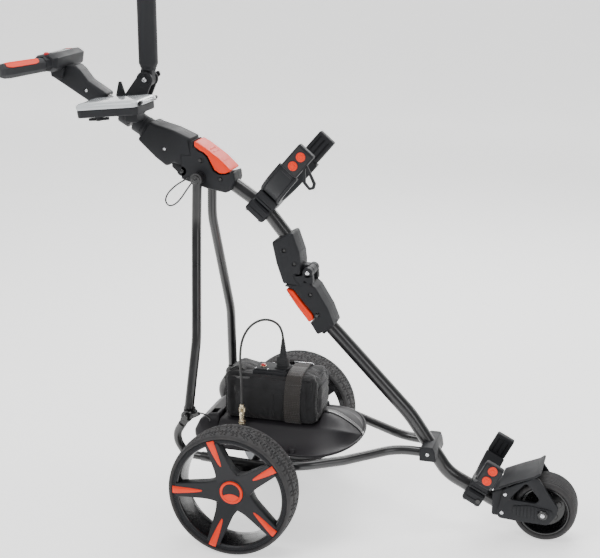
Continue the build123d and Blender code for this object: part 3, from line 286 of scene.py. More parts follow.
def coated_polyester(name="coated_polyester_fabric", code="#0C0C0E", light="#18181B", thread_mm=1.1):
    """600-denier polyester with a coated back: threads 0.6 mm apart, drawn at 1.1 so that they show."""
    material, tree, shader = fresh(name)
    place = put(tree, "TexCoord")
    weave = woven(tree, place, thread_mm)
    # One fold noise sets both the bump and the colour: the colour is painted shade, darker in the fold
    # hollows and paler on the fold tops.
    fold_height_and_shade = put(tree, "TexNoise",
            {"Vector": place.outputs["Object"], "Scale": per_metre(28), "Detail": 5.0})
    tinted(tree, shader, fold_height_and_shade.outputs["Fac"], linear(code), linear(light))
    folds = put(tree, "Bump", {"Height": fold_height_and_shade.outputs["Fac"], "Distance": 1.6 * MM, "Strength": 0.35})
    bump = put(tree, "Bump", {"Height": weave.outputs[0], "Distance": 0.16 * MM, "Strength": 0.6,
            "Normal": folds.outputs["Normal"]})
    tree.links.new(bump.outputs["Normal"], shader.inputs["Normal"])
    fixed(shader, {"Roughness": 0.78, "Sheen Weight": 0.25, "Sheen Roughness": 0.4})
    return material


def nylon_webbing():
    """Woven nylon strap: ribs 2 mm apart across it, brownish black, with a slight sheen."""
    material, tree, shader = fresh("woven_nylon_webbing")
    place = put(tree, "TexCoord")
    weave = woven(tree, place, 2.0)
    wear = put(tree, "TexNoise", {"Vector": place.outputs["Object"], "Scale": per_metre(24), "Detail": 4.0})
    tinted(tree, shader, wear.outputs["Fac"], linear("#120F0D"), linear("#2A231E"))
    raised(tree, shader, weave.outputs[0], 0.35, 0.8)
    fixed(shader, {"Roughness": 0.62, "Sheen Weight": 0.3})
    return material


def clear_polycarbonate():
    """Injection-moulded clear lid, milky with fine scratches: much of it reflects the room."""
    material, tree, shader = fresh("clear_polycarbonate")
    place = grain(tree, shader, 9, 0.05, 2.0, 0.3)
    fixed(shader,
          {"Base Color": linear("#E9EDF0"), "Transmission Weight": 0.35, "IOR": 1.58, "Coat Weight": 0.6})
    roughness_between(tree, shader, place, 16, 0.08, 0.2)
    return material


def pale_floor():
    """Seamless translucent studio sweep, lit from beneath, with a faint roller texture."""
    material, tree, shader = fresh("painted_studio_floor")
    place = grain(tree, shader, 6, 0.05, 3.0, 0.2)
    fixed(shader,
          {"Base Color": linear("#F4F4F3"), "Emission Color": linear("#FFFFFF"), "Emission Strength": 1.0})
    roughness_between(tree, shader, place, 300, 0.55, 0.7)
    return material


FINISH = {}


def mix_finishes(context):
    """Makes each finish once."""
    FINISH.update({
        "steel_tube": powder_coated_steel(),
        "nylon": moulded_nylon(),
        "fairing": moulded_nylon("moulded_polypropylene_fairing", "#1F1E21", "#282629", 0.4, 0.52),
        "gloss": polished_abs(),
        "wheel": moulded_nylon("moulded_wheel_nylon", "#1C1D20", "#242528", 0.36, 0.48),
        "orange": orange_abs(context.scene.trolley_colours.accent),
        "tyre": tyre_rubber(),
        "steel": turned_steel(),
        "zinc": bright_zinc(),
        "nickel": bright_zinc("champagne_nickel_plate", "#D6C9AE", 0.2),
        "bronze": bright_zinc("sintered_bronze", "#A37B45", 0.38),
        "casting": cast_aluminium(),
        "acetal": natural_acetal(),
        "grip": soft_touch_elastomer(),
        "rubber": soft_touch_elastomer("moulded_rubber", "#161617", 0.66),
        "sheath": polished_abs("extruded_pvc_sheath", "#161617", 0.42),
        "fabric": coated_polyester(),
        "piping": coated_polyester("bound_piping_tape", "#0F0F10", "#1C1C1E", 0.8),
        "webbing": nylon_webbing(),
        "clear": clear_polycarbonate(),
        "red": polished_abs("moulded_red_abs", "#C8141C", 0.22),
        "floor": pale_floor(),
        "motor": moulded_nylon("electrocoated_steel", "#1C1C20", "#242428", 0.3, 0.42),
    })


# ---------------------------------------------------------------- mesh helpers
def placed(name, data):
    """A new object in the scene."""
    thing = bpy.data.objects.new(name, data)
    bpy.context.scene.collection.objects.link(thing)
    return thing


def new_piece(name, points, faces, finish, sharp=32.0):
    """A mesh object from points in metres, with outward normals and its sharper edges kept sharp."""
    mesh = bpy.data.meshes.new(name)
    mesh.from_pydata([tuple(p) for p in points], [], faces)
    work = bmesh.new()
    work.from_mesh(mesh)
    bmesh.ops.remove_doubles(work, verts=work.verts, dist=1e-6)
    bmesh.ops.recalc_face_normals(work, faces=work.faces)
    work.to_mesh(mesh)
    work.free()
    piece = placed(name, mesh)
    mesh.materials.append(FINISH[finish])
    smooth(piece, sharp)
    return piece


def smooth(piece, sharp=32.0):
    """Smooth shading, but for edges sharper than an angle."""
    piece.data.shade_smooth()
    piece.data.set_sharp_from_angle(angle=radians(sharp))


def settle(piece, sharp=32.0):
    """Applies the piece's modifiers to its mesh."""
    bpy.context.view_layer.update()
    evaluated = piece.evaluated_get(bpy.context.evaluated_depsgraph_get())
    mesh = bpy.data.meshes.new_from_object(evaluated)
    piece.modifiers.clear()
    piece.data = mesh
    smooth(piece, sharp)
    return piece


def rounded_edges(piece, width_mm, segments=3, angle=28.0, sharp=40.0):
    """Rounds the piece's hard edges."""
    bevel = piece.modifiers.new("round", "BEVEL")
    bevel.width = width_mm * MM
    bevel.segments = segments
    bevel.limit_method = "ANGLE"
    bevel.angle_limit = radians(angle)
    bevel.miter_outer = "MITER_ARC"
    bevel.use_clamp_overlap = True
    return settle(piece, sharp)


def subdivided(piece, levels, sharp):
    """Smooths the piece's faces by subdivision."""
    layer = piece.modifiers.new("smooth", "SUBSURF")
    layer.levels = levels
    return settle(piece, sharp)


def cut_away(piece, cutters, sharp=35.0):
    """Takes the cutters' volume out of the piece and deletes the cutters."""
    for cutter in cutters:
        carve = piece.modifiers.new("cut", "BOOLEAN")
        carve.operation = "DIFFERENCE"
        carve.solver = "EXACT"
        carve.object = cutter
    settle(piece, sharp)
    for cutter in cutters:
        bpy.data.objects.remove(cutter)
    return piece


def joined(name, pieces, sharp=32.0):
    """Several meshes as one object; each face keeps its material."""
    work = bmesh.new()
    finishes = []
    for piece in pieces:
        material = piece.data.materials[0]
        if material not in finishes:
            finishes.append(material)
        start = len(work.faces)
        work.from_mesh(piece.data)
        work.faces.ensure_lookup_table()
        for face in work.faces[start:]:
            face.material_index = finishes.index(material)
    mesh = bpy.data.meshes.new(name)
    work.to_mesh(mesh)
    work.free()
    for material in finishes:
        mesh.materials.append(material)
    for piece in pieces:
        bpy.data.objects.remove(piece)
    result = placed(name, mesh)
    smooth(result, sharp)
    return result


def keep(piece, body, slot, *nodes):
    """The piece rides on a body and stands for the nodes; the slot is not used."""
    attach(piece, body)
    if nodes:
        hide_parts(*nodes)
    return piece


def paint(node, finish):
    """Gives a carried-over node its finish."""
    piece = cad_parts[node]
    piece.data.materials.clear()
    piece.data.materials.append(FINISH[finish])


def softened(outline, radius, steps=4):
    """A closed outline with its corners rounded; a corner's third value is its own radius."""
    result = []
    count = len(outline)
    for i, corner in enumerate(outline):
        here = Vector(corner[:2])
        reach = corner[2] if len(corner) > 2 else radius
        before = Vector(outline[i - 1][:2]) - here
        after = Vector(outline[(i + 1) % count][:2]) - here
        inside = before.angle(after)
        if reach <= 0 or inside > radians(176):
            result.append(tuple(here))
            continue
        back = min(reach / tan(inside / 2), 0.46 * before.length, 0.46 * after.length)
        start = here + before.normalized() * back
        end = here + after.normalized() * back
        for k in range(steps + 1):
            t = k / steps
            result.append(tuple((1 - t) ** 2 * start + 2 * t * (1 - t) * here + t * t * end))
    return result


def prism(name, outline, y_from, y_to, finish):
    """A side-view outline of (x, z) pushed across from one y to another."""
    count = len(outline)
    points = [at(x, y_from, z) for x, z in outline] + [at(x, y_to, z) for x, z in outline]
    faces = [list(range(count)), list(range(2 * count - 1, count - 1, -1))]
    faces += [[i, (i + 1) % count, (i + 1) % count + count, i + count] for i in range(count)]
    return new_piece(name, points, faces, finish)


def stretched(name, rings, finish, sharp=32.0, closed=False):
    """Skin over rings of points in metres, with flat ends or closed on itself."""
    size = len(rings[0])
    points = [p for ring in rings for p in ring]
    faces = []
    spans = len(rings) if closed else len(rings) - 1
    for row in range(spans):
        below = row * size
        above = (row + 1) % len(rings) * size
        faces += [[below + i, below + (i + 1) % size, above + (i + 1) % size,
                above + i] for i in range(size)]
    if not closed:
        faces.append(list(range(size)))
        faces.append(list(range(len(points) - 1, len(points) - size - 1, -1)))
    return new_piece(name, points, faces, finish, sharp)


def turned(name, profile, centre, finish, steps=96, side=1):
    """A closed profile of (outward, radius) turned about a wheel's axis through a centre in metres."""
    rings = []
    for k in range(steps):
        angle = 2 * pi * k / steps
        rings.append([centre + Vector((r * MM * cos(angle), side * out * MM, r * MM * sin(angle)))
                for out, r in profile])
    return stretched(name, rings, finish, closed=True)


def pin(name, centre, heading, profile, finish, steps=32, sharp=32.0):
    """A closed profile of (along, radius) turned about any heading."""
    heading = heading.normalized()
    turn = UP.rotation_difference(heading).to_matrix()
    rings = []
    for k in range(steps):
        angle = 2 * pi * k / steps
        rings.append([centre + turn @ Vector((r * MM * cos(angle), r * MM * sin(angle), a * MM)) for a,
                r in profile])
    return stretched(name, rings, finish, sharp, closed=True)


def socket_screw(name, centre, heading, radius=3.6, proud=2.4, finish="zinc"):
    """Button-head screw with a hexagon socket."""
    profile = [(-0.2, 0.0), (-0.2, radius), (proud * 0.45, radius), (proud * 0.8, radius * 0.86),
            (proud, radius * 0.62),
            (proud, 0.0)]
    head = pin(name, centre, heading, profile, finish, 24)
    heading = heading.normalized()
    turn = UP.rotation_difference(heading).to_matrix()
    hexagon = []
    for depth in (0.35, 1.6):
        ring = [centre + turn @ Vector((0.5 * radius * MM * cos(radians(60 * k)),
                0.5 * radius * MM * sin(radians(60 * k)),
                depth * proud * MM)) for k in range(6)]
        hexagon.append(ring)
    return cut_away(head, [stretched(name + "_key", hexagon, finish)])


def block(name, low, high, finish, edge=2.0, segments=3):
    """A box between two corners in millimetres, with rounded edges."""
    outline = [(low[0], low[2]), (high[0], low[2]), (high[0], high[2]), (low[0], high[2])]
    piece = prism(name, outline, low[1], high[1], finish)
    return rounded_edges(piece, edge, segments) if edge else piece


def smooth_step(value):
    """Eases from 0 to 1, and stays there outside that range."""
    value = min(max(value, 0.0), 1.0)
    return value * value * (3 - 2 * value)


# ---------------------------------------------------------------- camera, floor and light
CAMERA_AT = (904.3, -2825.6, 1419.6)
CAMERA_AZIMUTH = 16.282
CAMERA_ELEVATION = 16.155
CAMERA_ROLL = -0.14
CAMERA_LENS = 79.8


def set_camera():
    """The view the trolley is usually shown from: near wheel in front, front wheel to the right."""
    turn = radians(CAMERA_AZIMUTH)
    rise = radians(CAMERA_ELEVATION)
    roll = radians(CAMERA_ROLL)
    right = Vector((cos(turn), sin(turn), 0))
    back = Vector((sin(turn) * cos(rise), -cos(turn) * cos(rise), sin(rise)))
    up = back.cross(right)
    lens = bpy.data.cameras.new("camera")
    lens.lens = CAMERA_LENS
    lens.sensor_width = 36.0
    camera = placed("camera", lens)
    matrix = Matrix.Identity(4)
    for column, axis in enumerate((cos(roll) * right + sin(roll) * up, cos(roll) * up - sin(roll) * right,
            back)):
        for row in range(3):
            matrix[row][column] = axis[row]
    matrix.translation = at(*CAMERA_AT)
    camera.matrix_world = matrix
    bpy.context.scene.camera = camera


def area_light(name, place, target, size, power):
    """A rectangular lamp turned towards a target."""
    lamp = bpy.data.lights.new(name, "AREA")
    lamp.shape = "RECTANGLE"
    lamp.size = size[0]
    lamp.size_y = size[1]
    lamp.energy = power
    light = placed(name, lamp)
    light.location = place
    light.rotation_euler = (Vector(target) - Vector(place)).to_track_quat("-Z", "Y").to_euler()
    return light


SWEEP_BEND = 2.5
SWEEP_HALF = 14.0
SWEEP_TOP = 8.0
SWEEP_STEPS = 16
ROOM_LIGHT = 0.3
LAMPS = (
    ("key_lamp", (-1.4, -2.4, 3.2), (0, 0, 0.4), (1.6, 1.6), 75),
    ("fill_lamp", (2.6, -2.2, 1.8), (0, 0, 0.4), (1.2, 1.8), 22),
    ("back_lamp", (0.4, 2.6, 2.4), (0, 0, 0.7), (2.4, 1.0), 60),
    ("top_lamp", (0.0, 0.4, 3.2), (0, 0, 0), (2.2, 1.4), 55),
)


def set_stage():
    """A pale studio sweep curving up far behind, wide soft lamps and a dim room."""
    reach = bpy.context.scene.trolley_sizes.floor_reach
    foot = reach - SWEEP_BEND
    rows = [(-reach, 0.0), (foot, 0.0)]
    for k in range(1, SWEEP_STEPS + 1):
        turn = pi / 2 * k / SWEEP_STEPS
        rows.append((foot + SWEEP_BEND * sin(turn), SWEEP_BEND - SWEEP_BEND * cos(turn)))
    rows.append((reach, SWEEP_TOP))
    points = [(side * SWEEP_HALF, y, z) for y, z in rows for side in (-1, 1)]
    faces = [[2 * k, 2 * k + 1, 2 * k + 3, 2 * k + 2] for k in range(len(rows) - 1)]
    floor_piece = new_piece("studio_floor", points, faces, "floor", 60)
    lamps = [area_light(*lamp) for lamp in LAMPS]
    world = bpy.data.worlds.new("studio")
    bpy.context.scene.world = world
    world.use_nodes = True
    background = world.node_tree.nodes["Background"]
    background.inputs["Color"].default_value = linear("#FFFFFF")
    background.inputs["Strength"].default_value = ROOM_LIGHT


# ---------------------------------------------------------------- cords
LEAD_ROUTE = [(-36, -90, 280), (-35, -90, 320), (-38, -90, 362), (-40, -88, 402), (-35, -84, 440),
        (-18, -76, 470),
        (8, -64, 484), (32, -48, 476), (45, -31, 452), (43, -18, 424)]
UPPER_CABLE = [(-176, -31.2, 797), (-192, -37, 788), (-210, -41, 775), (-225, -44, 759), (-230, -47, 742),
        (-219, -50, 731), (-203, -52, 737), (-188, -53, 752), (-176, -53, 770), (-161.8, -53, 789)]
LOWER_CABLE = [(-113, -166, 279), (-105, -158, 275), (-99, -145, 263), (-103, -126, 249), (-111, -106, 236),
        (-118, -86.3, 228)]


def cord_curve(name, route, radius):
    """One open spline along a route, as thick as the cord."""
    curve = bpy.data.curves.new(name, "CURVE")
    curve.dimensions = "3D"
    spline = curve.splines.new("NURBS")
    spline.points.add(len(route) - 1)
    for point, place in zip(spline.points, route):
        point.co = (*at(*place), 1.0)
    spline.order_u = 3
    spline.use_endpoint_u = True
    curve.bevel_depth = radius * MM
    curve.bevel_resolution = 6
    curve.resolution_u = 12
    curve.use_fill_caps = True
    curve.materials.append(FINISH["sheath"])
    return placed(name, curve)


def make_cords():
    """Battery lead and the two short control cables."""
    lead = keep(cord_curve("battery_lead", LEAD_ROUTE, 2.8), "chassis", "cable", "power_lead")
    upper = keep(cord_curve("housing_cable", UPPER_CABLE, 1.8), "upper_frame", "cable",
            "upper_control_cable")
    lower = keep(cord_curve("arm_cable", LOWER_CABLE, 1.8), "chassis", "cable", "lower_control_cable")


# ---------------------------------------------------------------- rear wheels
SPOKES = 5
SPOKE_FACE = 10.7          # outward place of the spokes' face at the axle, from the tyre's middle
SPOKE_RISE = 0.2071        # outward rise of the face per millimetre of radius
SPOKE_DEPTH = 27.0
SIPES = 112
CROWN = [(-39, 137), (-38.4, 139.4), (-36, 141.3), (-31, 142.7), (-24, 143.8), (-12, 144.7), (0, 145),
        (12, 144.7),
        (24, 143.8), (31, 142.7), (36, 141.3), (38.4, 139.4), (39, 137)]


def between(table, value):
    """Straight-line value from a table of pairs."""
    for (a, low), (b, high) in zip(table, table[1:]):
        if value <= b:
            return low + (high - low) * (value - a) / (b - a)
    return table[-1][1]


def sipe_depth(angle, across):
    """Share of the tread's depth that is cut away: wavy chevron sipes, mirrored about the crown."""
    far = abs(across)
    if far > 35:
        return 0.0
    if far < 1.0:
        return 0.3
    turns = angle * SIPES / (2 * pi)
    wave = 0.42 * sin(0.33 * far + 1.7 * sin(0.23 * turns))
    place = turns + 0.075 * far + wave + (0.5 if across > 0 else 0.0)
    row = floor(place) % 3
    if row == 0 and far > 19:
        return 0.0
    if row == 1 and far < 9:
        return 0.0
    offset = abs(place - floor(place) - 0.5)
    cut = 1.0 - smooth_step((offset - 0.12) / 0.12)
    return cut * (1.0 - smooth_step((far - 29) / 5))


def tread_rings(centre, side, skin, beads, steps, depth):
    """Rings of a tyre whose skin is cut by a tread."""
    rings = []
    for k in range(steps):
        angle = 2 * pi * k / steps
        ring = []
        for across, radius in skin:
            cut = radius - depth(angle, across)
            ring.append(centre + Vector((cut * cos(angle) * MM, side * across * MM, cut * sin(angle) * MM)))
        for across, radius in beads:
            ring.append(centre + Vector((radius * cos(angle) * MM, side * across * MM,
                    radius * sin(angle) * MM)))
        rings.append(ring)
    return rings


def rear_tyre(side, hand):
    """Rear tyre with a sipe-cut tread and folded-in beads."""
    steps = 1120
    columns = 45
    spots = [-36 + 72 * i / columns for i in range(columns + 1)]
    skin = [(-39, 137), (-38.4, 139.4)] + [(y, between(CROWN, y)) for y in spots] + [(38.4, 139.4),
            (39, 137)]
    beads = [(38.6, 135.4), (36.5, 134.2), (35.2, 133.4), (32.3, 133.2), (32.3, 127), (-32.3, 127),
            (-32.3, 133.2),
            (-35.2, 133.4), (-36.5, 134.2), (-38.6, 135.4)]
    centre = at(0, side * TRACK_HALF, WHEEL_R)
    deep = bpy.context.scene.trolley_sizes.tread_depth / MM
    rings = tread_rings(centre, side, skin, beads, steps, lambda turn,
            across: deep * sipe_depth(turn, across))
    tyre = stretched(f"tread_tyre_{hand}", rings, "tyre", 50, closed=True)
    keep(tyre, f"{hand}_wheel", "tyre", f"tyre_{hand}")


def wheel_point(side, turn, along, across, outward):
    """A point on a rear wheel: along a spoke, across it anticlockwise, and outward from the tyre's middle."""
    return at(along * cos(turn) - across * sin(turn), side * (TRACK_HALF + outward),
            WHEEL_R + along * sin(turn) + across * cos(turn))


def spoke_half(along):
    """Half width of a spoke, which meets its neighbours in a rounded web."""
    straight = between([(0, 29.5), (22, 26), (60, 20), (123.5, 15.5), (140, 15)], along)
    web = 3.0 * max(0.0, 1.0 - (along - 34.0) / 22.0) ** 2
    return min(along * tan(pi / SPOKES), straight + web)


def star(side):
    """Five flat-faced spokes with deep side walls."""
    rows = [0, 14, 26, 32, 36, 37.5, 39.5, 42, 45, 50, 57, 66, 78, 92, 106, 118, 125]
    columns = 8
    points = []
    faces = []
    for spoke in range(SPOKES):
        turn = pi + 2 * pi * spoke / SPOKES
        base = len(points)
        ring = 2 * (columns + 1)
        for along in rows:
            half = spoke_half(along)
            draft = 2.2 * smooth_step((along - 37) / 18)
            face = SPOKE_FACE + SPOKE_RISE * along
            for i in range(columns + 1):
                points.append(wheel_point(side, turn, along, half * (2 * i / columns - 1), face))
            for i in range(columns, -1, -1):
                points.append(wheel_point(side, turn, along, (half - draft) * (2 * i / columns - 1),
                        face - SPOKE_DEPTH))
        for row in range(len(rows) - 1):
            open_side = rows[row + 1] > 37
            for i in range(ring):
                if i in (columns, ring - 1) and not open_side:
                    continue
                low = base + row * ring
                faces.append([low + i, low + (i + 1) % ring, low + ring + (i + 1) % ring, low + ring + i])
        faces.append([base + (len(rows) - 1) * ring + i for i in range(ring)])
    piece = new_piece("star", points, faces, "wheel")
    work = bmesh.new()
    work.from_mesh(piece.data)
    bmesh.ops.dissolve_degenerate(work, dist=1e-5, edges=work.edges)
    bmesh.ops.recalc_face_normals(work, faces=work.faces)
    work.to_mesh(piece.data)
    work.free()
    return rounded_edges(piece, 1.3, 2, 40, 34)


def rear_rim(side, hand):
    """Spokes, hub, gloss barrel and the ringed lip, as one moulding."""
    centre = at(0, side * TRACK_HALF, WHEEL_R)
    lip = [(31, 126.3), (32.3, 133), (34.6, 133.2), (35.6, 132.5), (35.8, 131.5), (34.7, 130.9),
           (34.7, 130.2),
           (35.6, 129.7), (35.6, 128.6), (34.4, 128), (34.4, 127.3), (35.1, 126.8), (34.8, 125.6),
           (33.4, 124.6),
           (31.5, 122), (31, 122)]
    barrel = [(32.6, 124.2), (31.4, 121.2), (28, 119.6), (4, 117.8), (-14, 117.4), (-30, 118.4),
            (-35.2, 120.6),
            (-35.6, 132.4), (-34.6, 133.2), (-32.4, 133), (-32.3, 126.2), (32, 126.2)]
    hub = [(-41, 6.1), (-41, 19.4), (-40.4, 20), (-20, 24), (-4, 30), (13, 32.4), (16.4, 31.6), (17.4, 30),
           (17.4, 27.6), (15.6, 27.3), (15.6, 0), (12, 0), (12, 6.1)]
    parts = [star(side), turned("lip", lip, centre, "wheel", 160, side=side),
            turned("hub", hub, centre, "wheel", 96, side=side),
            turned("barrel", barrel, centre, "gloss", 160, side=side)]
    for spoke in range(SPOKES):
        turn = pi + 2 * pi * (spoke + 0.5) / SPOKES
        rib = [wheel_point(side, turn, along, across, out) for along,
               out in ((20, -14), (28, -14), (28, -4), (20, -4))
               for across in (-2, 2)]
        parts.append(new_piece("web", rib,
                [[0, 2, 4, 6], [1, 7, 5, 3], [0, 1, 3, 2], [2, 3, 5, 4], [4, 5, 7, 6],
                [6, 7, 1, 0]], "wheel"))
    keep(joined(f"moulded_wheel_{hand}", parts), f"{hand}_wheel", "wheel_plastic", f"wheel_{hand}")


INSERT_FROM = 66.0
INSERT_TO = 131.5
INSERT_HALF = 8.6


def spoke_insert(side, turn):
    """Domed leaf: square at the rim, one edge full and the other straighter, running in to a point."""
    rows = 22
    columns = 8
    points = []
    for row in range(rows + 1):
        share = (row / rows) ** 1.6
        along = INSERT_FROM + (INSERT_TO - INSERT_FROM) * share
        full = INSERT_HALF * share ** 0.36
        lean = -INSERT_HALF * share ** 0.62
        face = SPOKE_FACE + SPOKE_RISE * min(along, 124.5)
        for i in range(columns + 1):
            t = 2 * i / columns - 1
            across = lean + (full - lean) * i / columns
            fade = 1 - smooth_step((along - 128) / 4) * 0.5
            crown = 0.4 + 2.6 * share ** 0.4 * (1 - abs(t) ** 3.2) * fade
            points.append(wheel_point(side, turn, along, across, face + crown))
    count = len(points)
    for row in range(rows + 1):
        for i in range(columns + 1):
            place = points[row * (columns + 1) + i]
            along = INSERT_FROM + (INSERT_TO - INSERT_FROM) * (row / rows) ** 1.6
            face = SPOKE_FACE + SPOKE_RISE * min(along, 124.5) - 1.2
            points.append(Vector((place.x, side * (TRACK_HALF + face) * MM, place.z)))
    faces = []
    width = columns + 1
    for row in range(rows):
        for i in range(columns):
            a = row * width + i
            faces.append([a, a + 1, a + width + 1, a + width])
            faces.append([count + a, count + a + width, count + a + width + 1, count + a + 1])
    edge = [row * width for row in range(rows + 1)] + [rows * width + i for i in range(1, width)]
    edge += [row * width + columns for row in range(rows - 1, -1, -1)] + [i for i in range(columns - 1, 0,
            -1)]
    for a, b in zip(edge, edge[1:] + edge[:1]):
        faces.append([a, b, b + count, a + count])
    return new_piece("insert", points, faces, "orange", 40)


def wheel_trims(side, hand):
    """Five orange spoke inserts and the hub cap with its ring and lower crescent."""
    centre = at(0, side * TRACK_HALF, WHEEL_R)
    inserts = [spoke_insert(side, pi + 2 * pi * i / SPOKES) for i in range(SPOKES)]
    ring = [(15.8, 20.6), (15.8, 26.8), (18.2, 27), (19.6, 26.3), (20.4, 24.6), (20.3, 22.2), (19.2, 21),
            (18.4, 20.6)]
    inserts.append(turned("ring", ring, centre, "orange", 96, side=side))
    dish = [(15.8, 0), (15.8, 21), (18.7, 21), (19.3, 14), (19.6, 6), (19.7, 0)]
    inserts.append(turned("dish", dish, centre, "wheel", 96, side=side))
    crescent = []
    for k in range(25):
        angle = radians(205 + 130 * k / 24)
        crescent.append((20.6 * cos(angle), 20.6 * sin(angle)))
    for k in range(13):
        share = k / 12
        crescent.append((18.6 - 37.2 * share, -8.8 + 6 * sin(pi * share)))
    rings = []
    for out in (18.6, 20.1):
        rings.append([centre + Vector((x * MM, side * out * MM, z * MM)) for x, z in crescent])
    inserts.append(stretched("crescent", rings, "orange"))
    keep(joined(f"spoke_inserts_{hand}", inserts), f"{hand}_wheel", "accent_orange", f"wheel_trim_{hand}")


def make_rear_wheels():
    for side, hand in ((-1, "right"), (1, "left")):
        rear_tyre(side, hand)
        rear_rim(side, hand)
        wheel_trims(side, hand)


# ---------------------------------------------------------------- front wheel and fork
def rib_depth(angle, across):
    """Straight grooves round the front tyre."""
    if abs(across) > 31:
        return 0.0
    place = across / 6.2 + 0.5
    offset = abs(place - floor(place) - 0.5)
    wander = 0.03 * sin(9 * angle + across)
    return 1.3 * smooth_step((offset + wander - 0.33) / 0.1)


def make_front_wheel():
    """Ribbed tyre on a dished disc rim."""
    steps = 300
    crown = [(-37.5, 64), (-36.4, 67.4), (-33, 70), (-27, 71.6), (-20, 72.6), (0, 73.5), (20, 72.6),
            (27, 71.6),
            (33, 70), (36.4, 67.4), (37.5, 64)]
    columns = 92
    skin = [(-37.5, 64), (-36.4, 67.4)] + [(-34 + 68 * i / columns, between(crown, -34 + 68 * i / columns))
            for i in range(columns + 1)] + [(36.4, 67.4), (37.5, 64)]
    beads = [(37.2, 61), (35, 59), (33, 58.2), (-33, 58.2), (-35, 59), (-37.2, 61)]
    tyre = stretched("ribbed_tyre", tread_rings(FRONT, 1, skin, beads, steps, rib_depth), "tyre", 45,
            closed=True)
    keep(tyre, "front_wheel", "tyre", "front_tyre")
    rim = [(-34, 58.1), (34, 58.1), (35, 57), (34.6, 54.4), (32, 52.6), (10, 47.6), (7, 45), (6, 40),
           (6, 20),
           (9, 15), (39, 13), (40, 12), (40, 5.1), (-40, 5.1), (-40, 12), (-39, 13), (-9, 15), (-6, 20),
           (-6, 40),
           (-7, 45), (-10, 47.6), (-32, 52.6), (-34.6, 54.4), (-35, 57)]
    parts = [turned("rim", rim, FRONT, "gloss", 128)]
    for side in (-1, 1):
        for k in range(6):
            angle = radians(60 * k + 15)
            place = FRONT + Vector((31 * MM * cos(angle), side * 6 * MM, 31 * MM * sin(angle)))
            boss = [(-1, 0), (-1, 8.2), (1.2, 8.2), (1.8, 7.4), (1.8, 0)]
            parts.append(pin("boss", place, sideways(side), boss, "gloss", 24))
    keep(joined("dished_rim", parts), "front_wheel", "wheel_plastic", "front_rim")


FORK_OUTLINE = [(562, 53), (560, 68), (572, 124), (640, 160), (650, 158), (697, 90), (690, 70), (674, 48),
        (601, 50)]
FORK_WINDOW = [(588, 105), (619, 142), (625, 143), (654, 108), (646, 98), (592, 101)]
FORK_PANEL = [(596, 66), (594, 87), (630, 92), (682, 86), (684, 67), (660, 57)]


def shell(name, outline, y_from, y_to, finish, edge=3.0, corner=None, rims=(0, 1), flat=None):
    """A side outline pushed across, its corners and the rims of its faces rounded, but for a flat seam."""
    corner = edge + 1.0 if corner is None else corner
    piece = prism(name, softened(outline, corner), y_from, y_to, finish)
    work = bmesh.new()
    work.from_mesh(piece.data)
    faces = (y_from * MM, y_to * MM)
    chosen = []
    for line in work.edges:
        first, second = line.verts[0].co.y, line.verts[1].co.y
        spot = (line.verts[0].co + line.verts[1].co) / 2
        if flat and flat((spot.x - AXLE.x) / MM, spot.z / MM):
            continue
        if any(abs(first - faces[i]) < 1e-6 and abs(second - faces[i]) < 1e-6 for i in rims):
            chosen.append(line)
    bmesh.ops.bevel(work, geom=chosen, offset=edge * MM, segments=4, profile=0.5, affect="EDGES",
            clamp_overlap=False)
    work.to_mesh(piece.data)
    work.free()
    smooth(piece, 32.0)
    return piece


def clamshell(name, outline, half, finish, edge=5.0, corner=None, flat=None):
    """Two halves that meet along a fine seam on the middle plane."""
    halves = [shell("half", outline, 0.3 * side, half * side, finish, edge, corner, (1,),
            flat) for side in (-1, 1)]
    return joined(name, halves)


def make_fork():
    """Windowed cheeks with a grooved panel, the crown, the base rest and the fork's screws."""
    parts = []
    for side in (-1, 1):
        cheek = prism("cheek", softened(FORK_OUTLINE, 12, 6), side * 43, side * 50.4, "nylon")
        window = prism("window", softened(FORK_WINDOW, 10, 6), side * 38, side * 56, "nylon")
        parts.append(rounded_edges(cut_away(cheek, [window]), 1.8, 3))
        panel = prism("panel", softened(FORK_PANEL, 7, 5), side * 50, side * 53, "nylon")
        grooves = []
        for k in range(10):
            x = 604 + 8 * k
            grooves.append(prism("groove", [(x - 1.3, 50), (x + 1.3, 50), (x + 1.3, 100), (x - 1.3, 100)],
                    side * 51.4, side * 55, "nylon"))
        parts.append(rounded_edges(cut_away(panel, grooves), 0.6, 2))
        cap = [(0, 0), (0, 11), (3, 11), (4.4, 9.6), (4.8, 7), (4.8, 0)]
        parts.append(pin("cap", FRONT + Vector((0, side * 52.6 * MM, 0)), sideways(side), cap, "gloss", 40))
        parts.append(socket_screw("nut", FRONT + Vector((0, side * 57.2 * MM, 0)), sideways(side), 5, 2.6))
    crown = [(546, 55), (546, 112), (562, 120), (576, 124), (580, 108), (574, 53)]
    parts.append(shell("crown", crown, -44, 44, "nylon", 4))
    for x, z in ((570, 66), (576, 112)):
        for side in (-1, 1):
            parts.append(socket_screw("screw", at(x, side * 50.2, z), sideways(side), 4.2, 2.0))
    keep(joined("front_fork_moulding", parts), "chassis", "housing", "front_fork")
    rest = [(563, 126), (561, 130.5), (600, 149), (640, 166), (652, 175), (655, 171), (642, 161.5),
            (600, 144)]
    keep(shell("base_rest", rest, -55, 55, "nylon", 1.6, 2), "chassis", "housing", "bag_base_rest")


# ---------------------------------------------------------------- battery tray and controller cover
TRAY_BACK = -96.0
TRAY_NOSE = 231.0
TRAY_TURN = 112.0
TRAY_HALF = 160.0
RIM_UNDER = 194.3


def tray_half(x):
    """Half width of the tray: straight at the back, then round to the nose."""
    if x <= TRAY_TURN:
        return TRAY_HALF
    share = min((x - TRAY_TURN) / (TRAY_NOSE - TRAY_TURN), 1.0)
    return TRAY_HALF * sqrt(max(0.0, 1.0 - share ** 2.4))


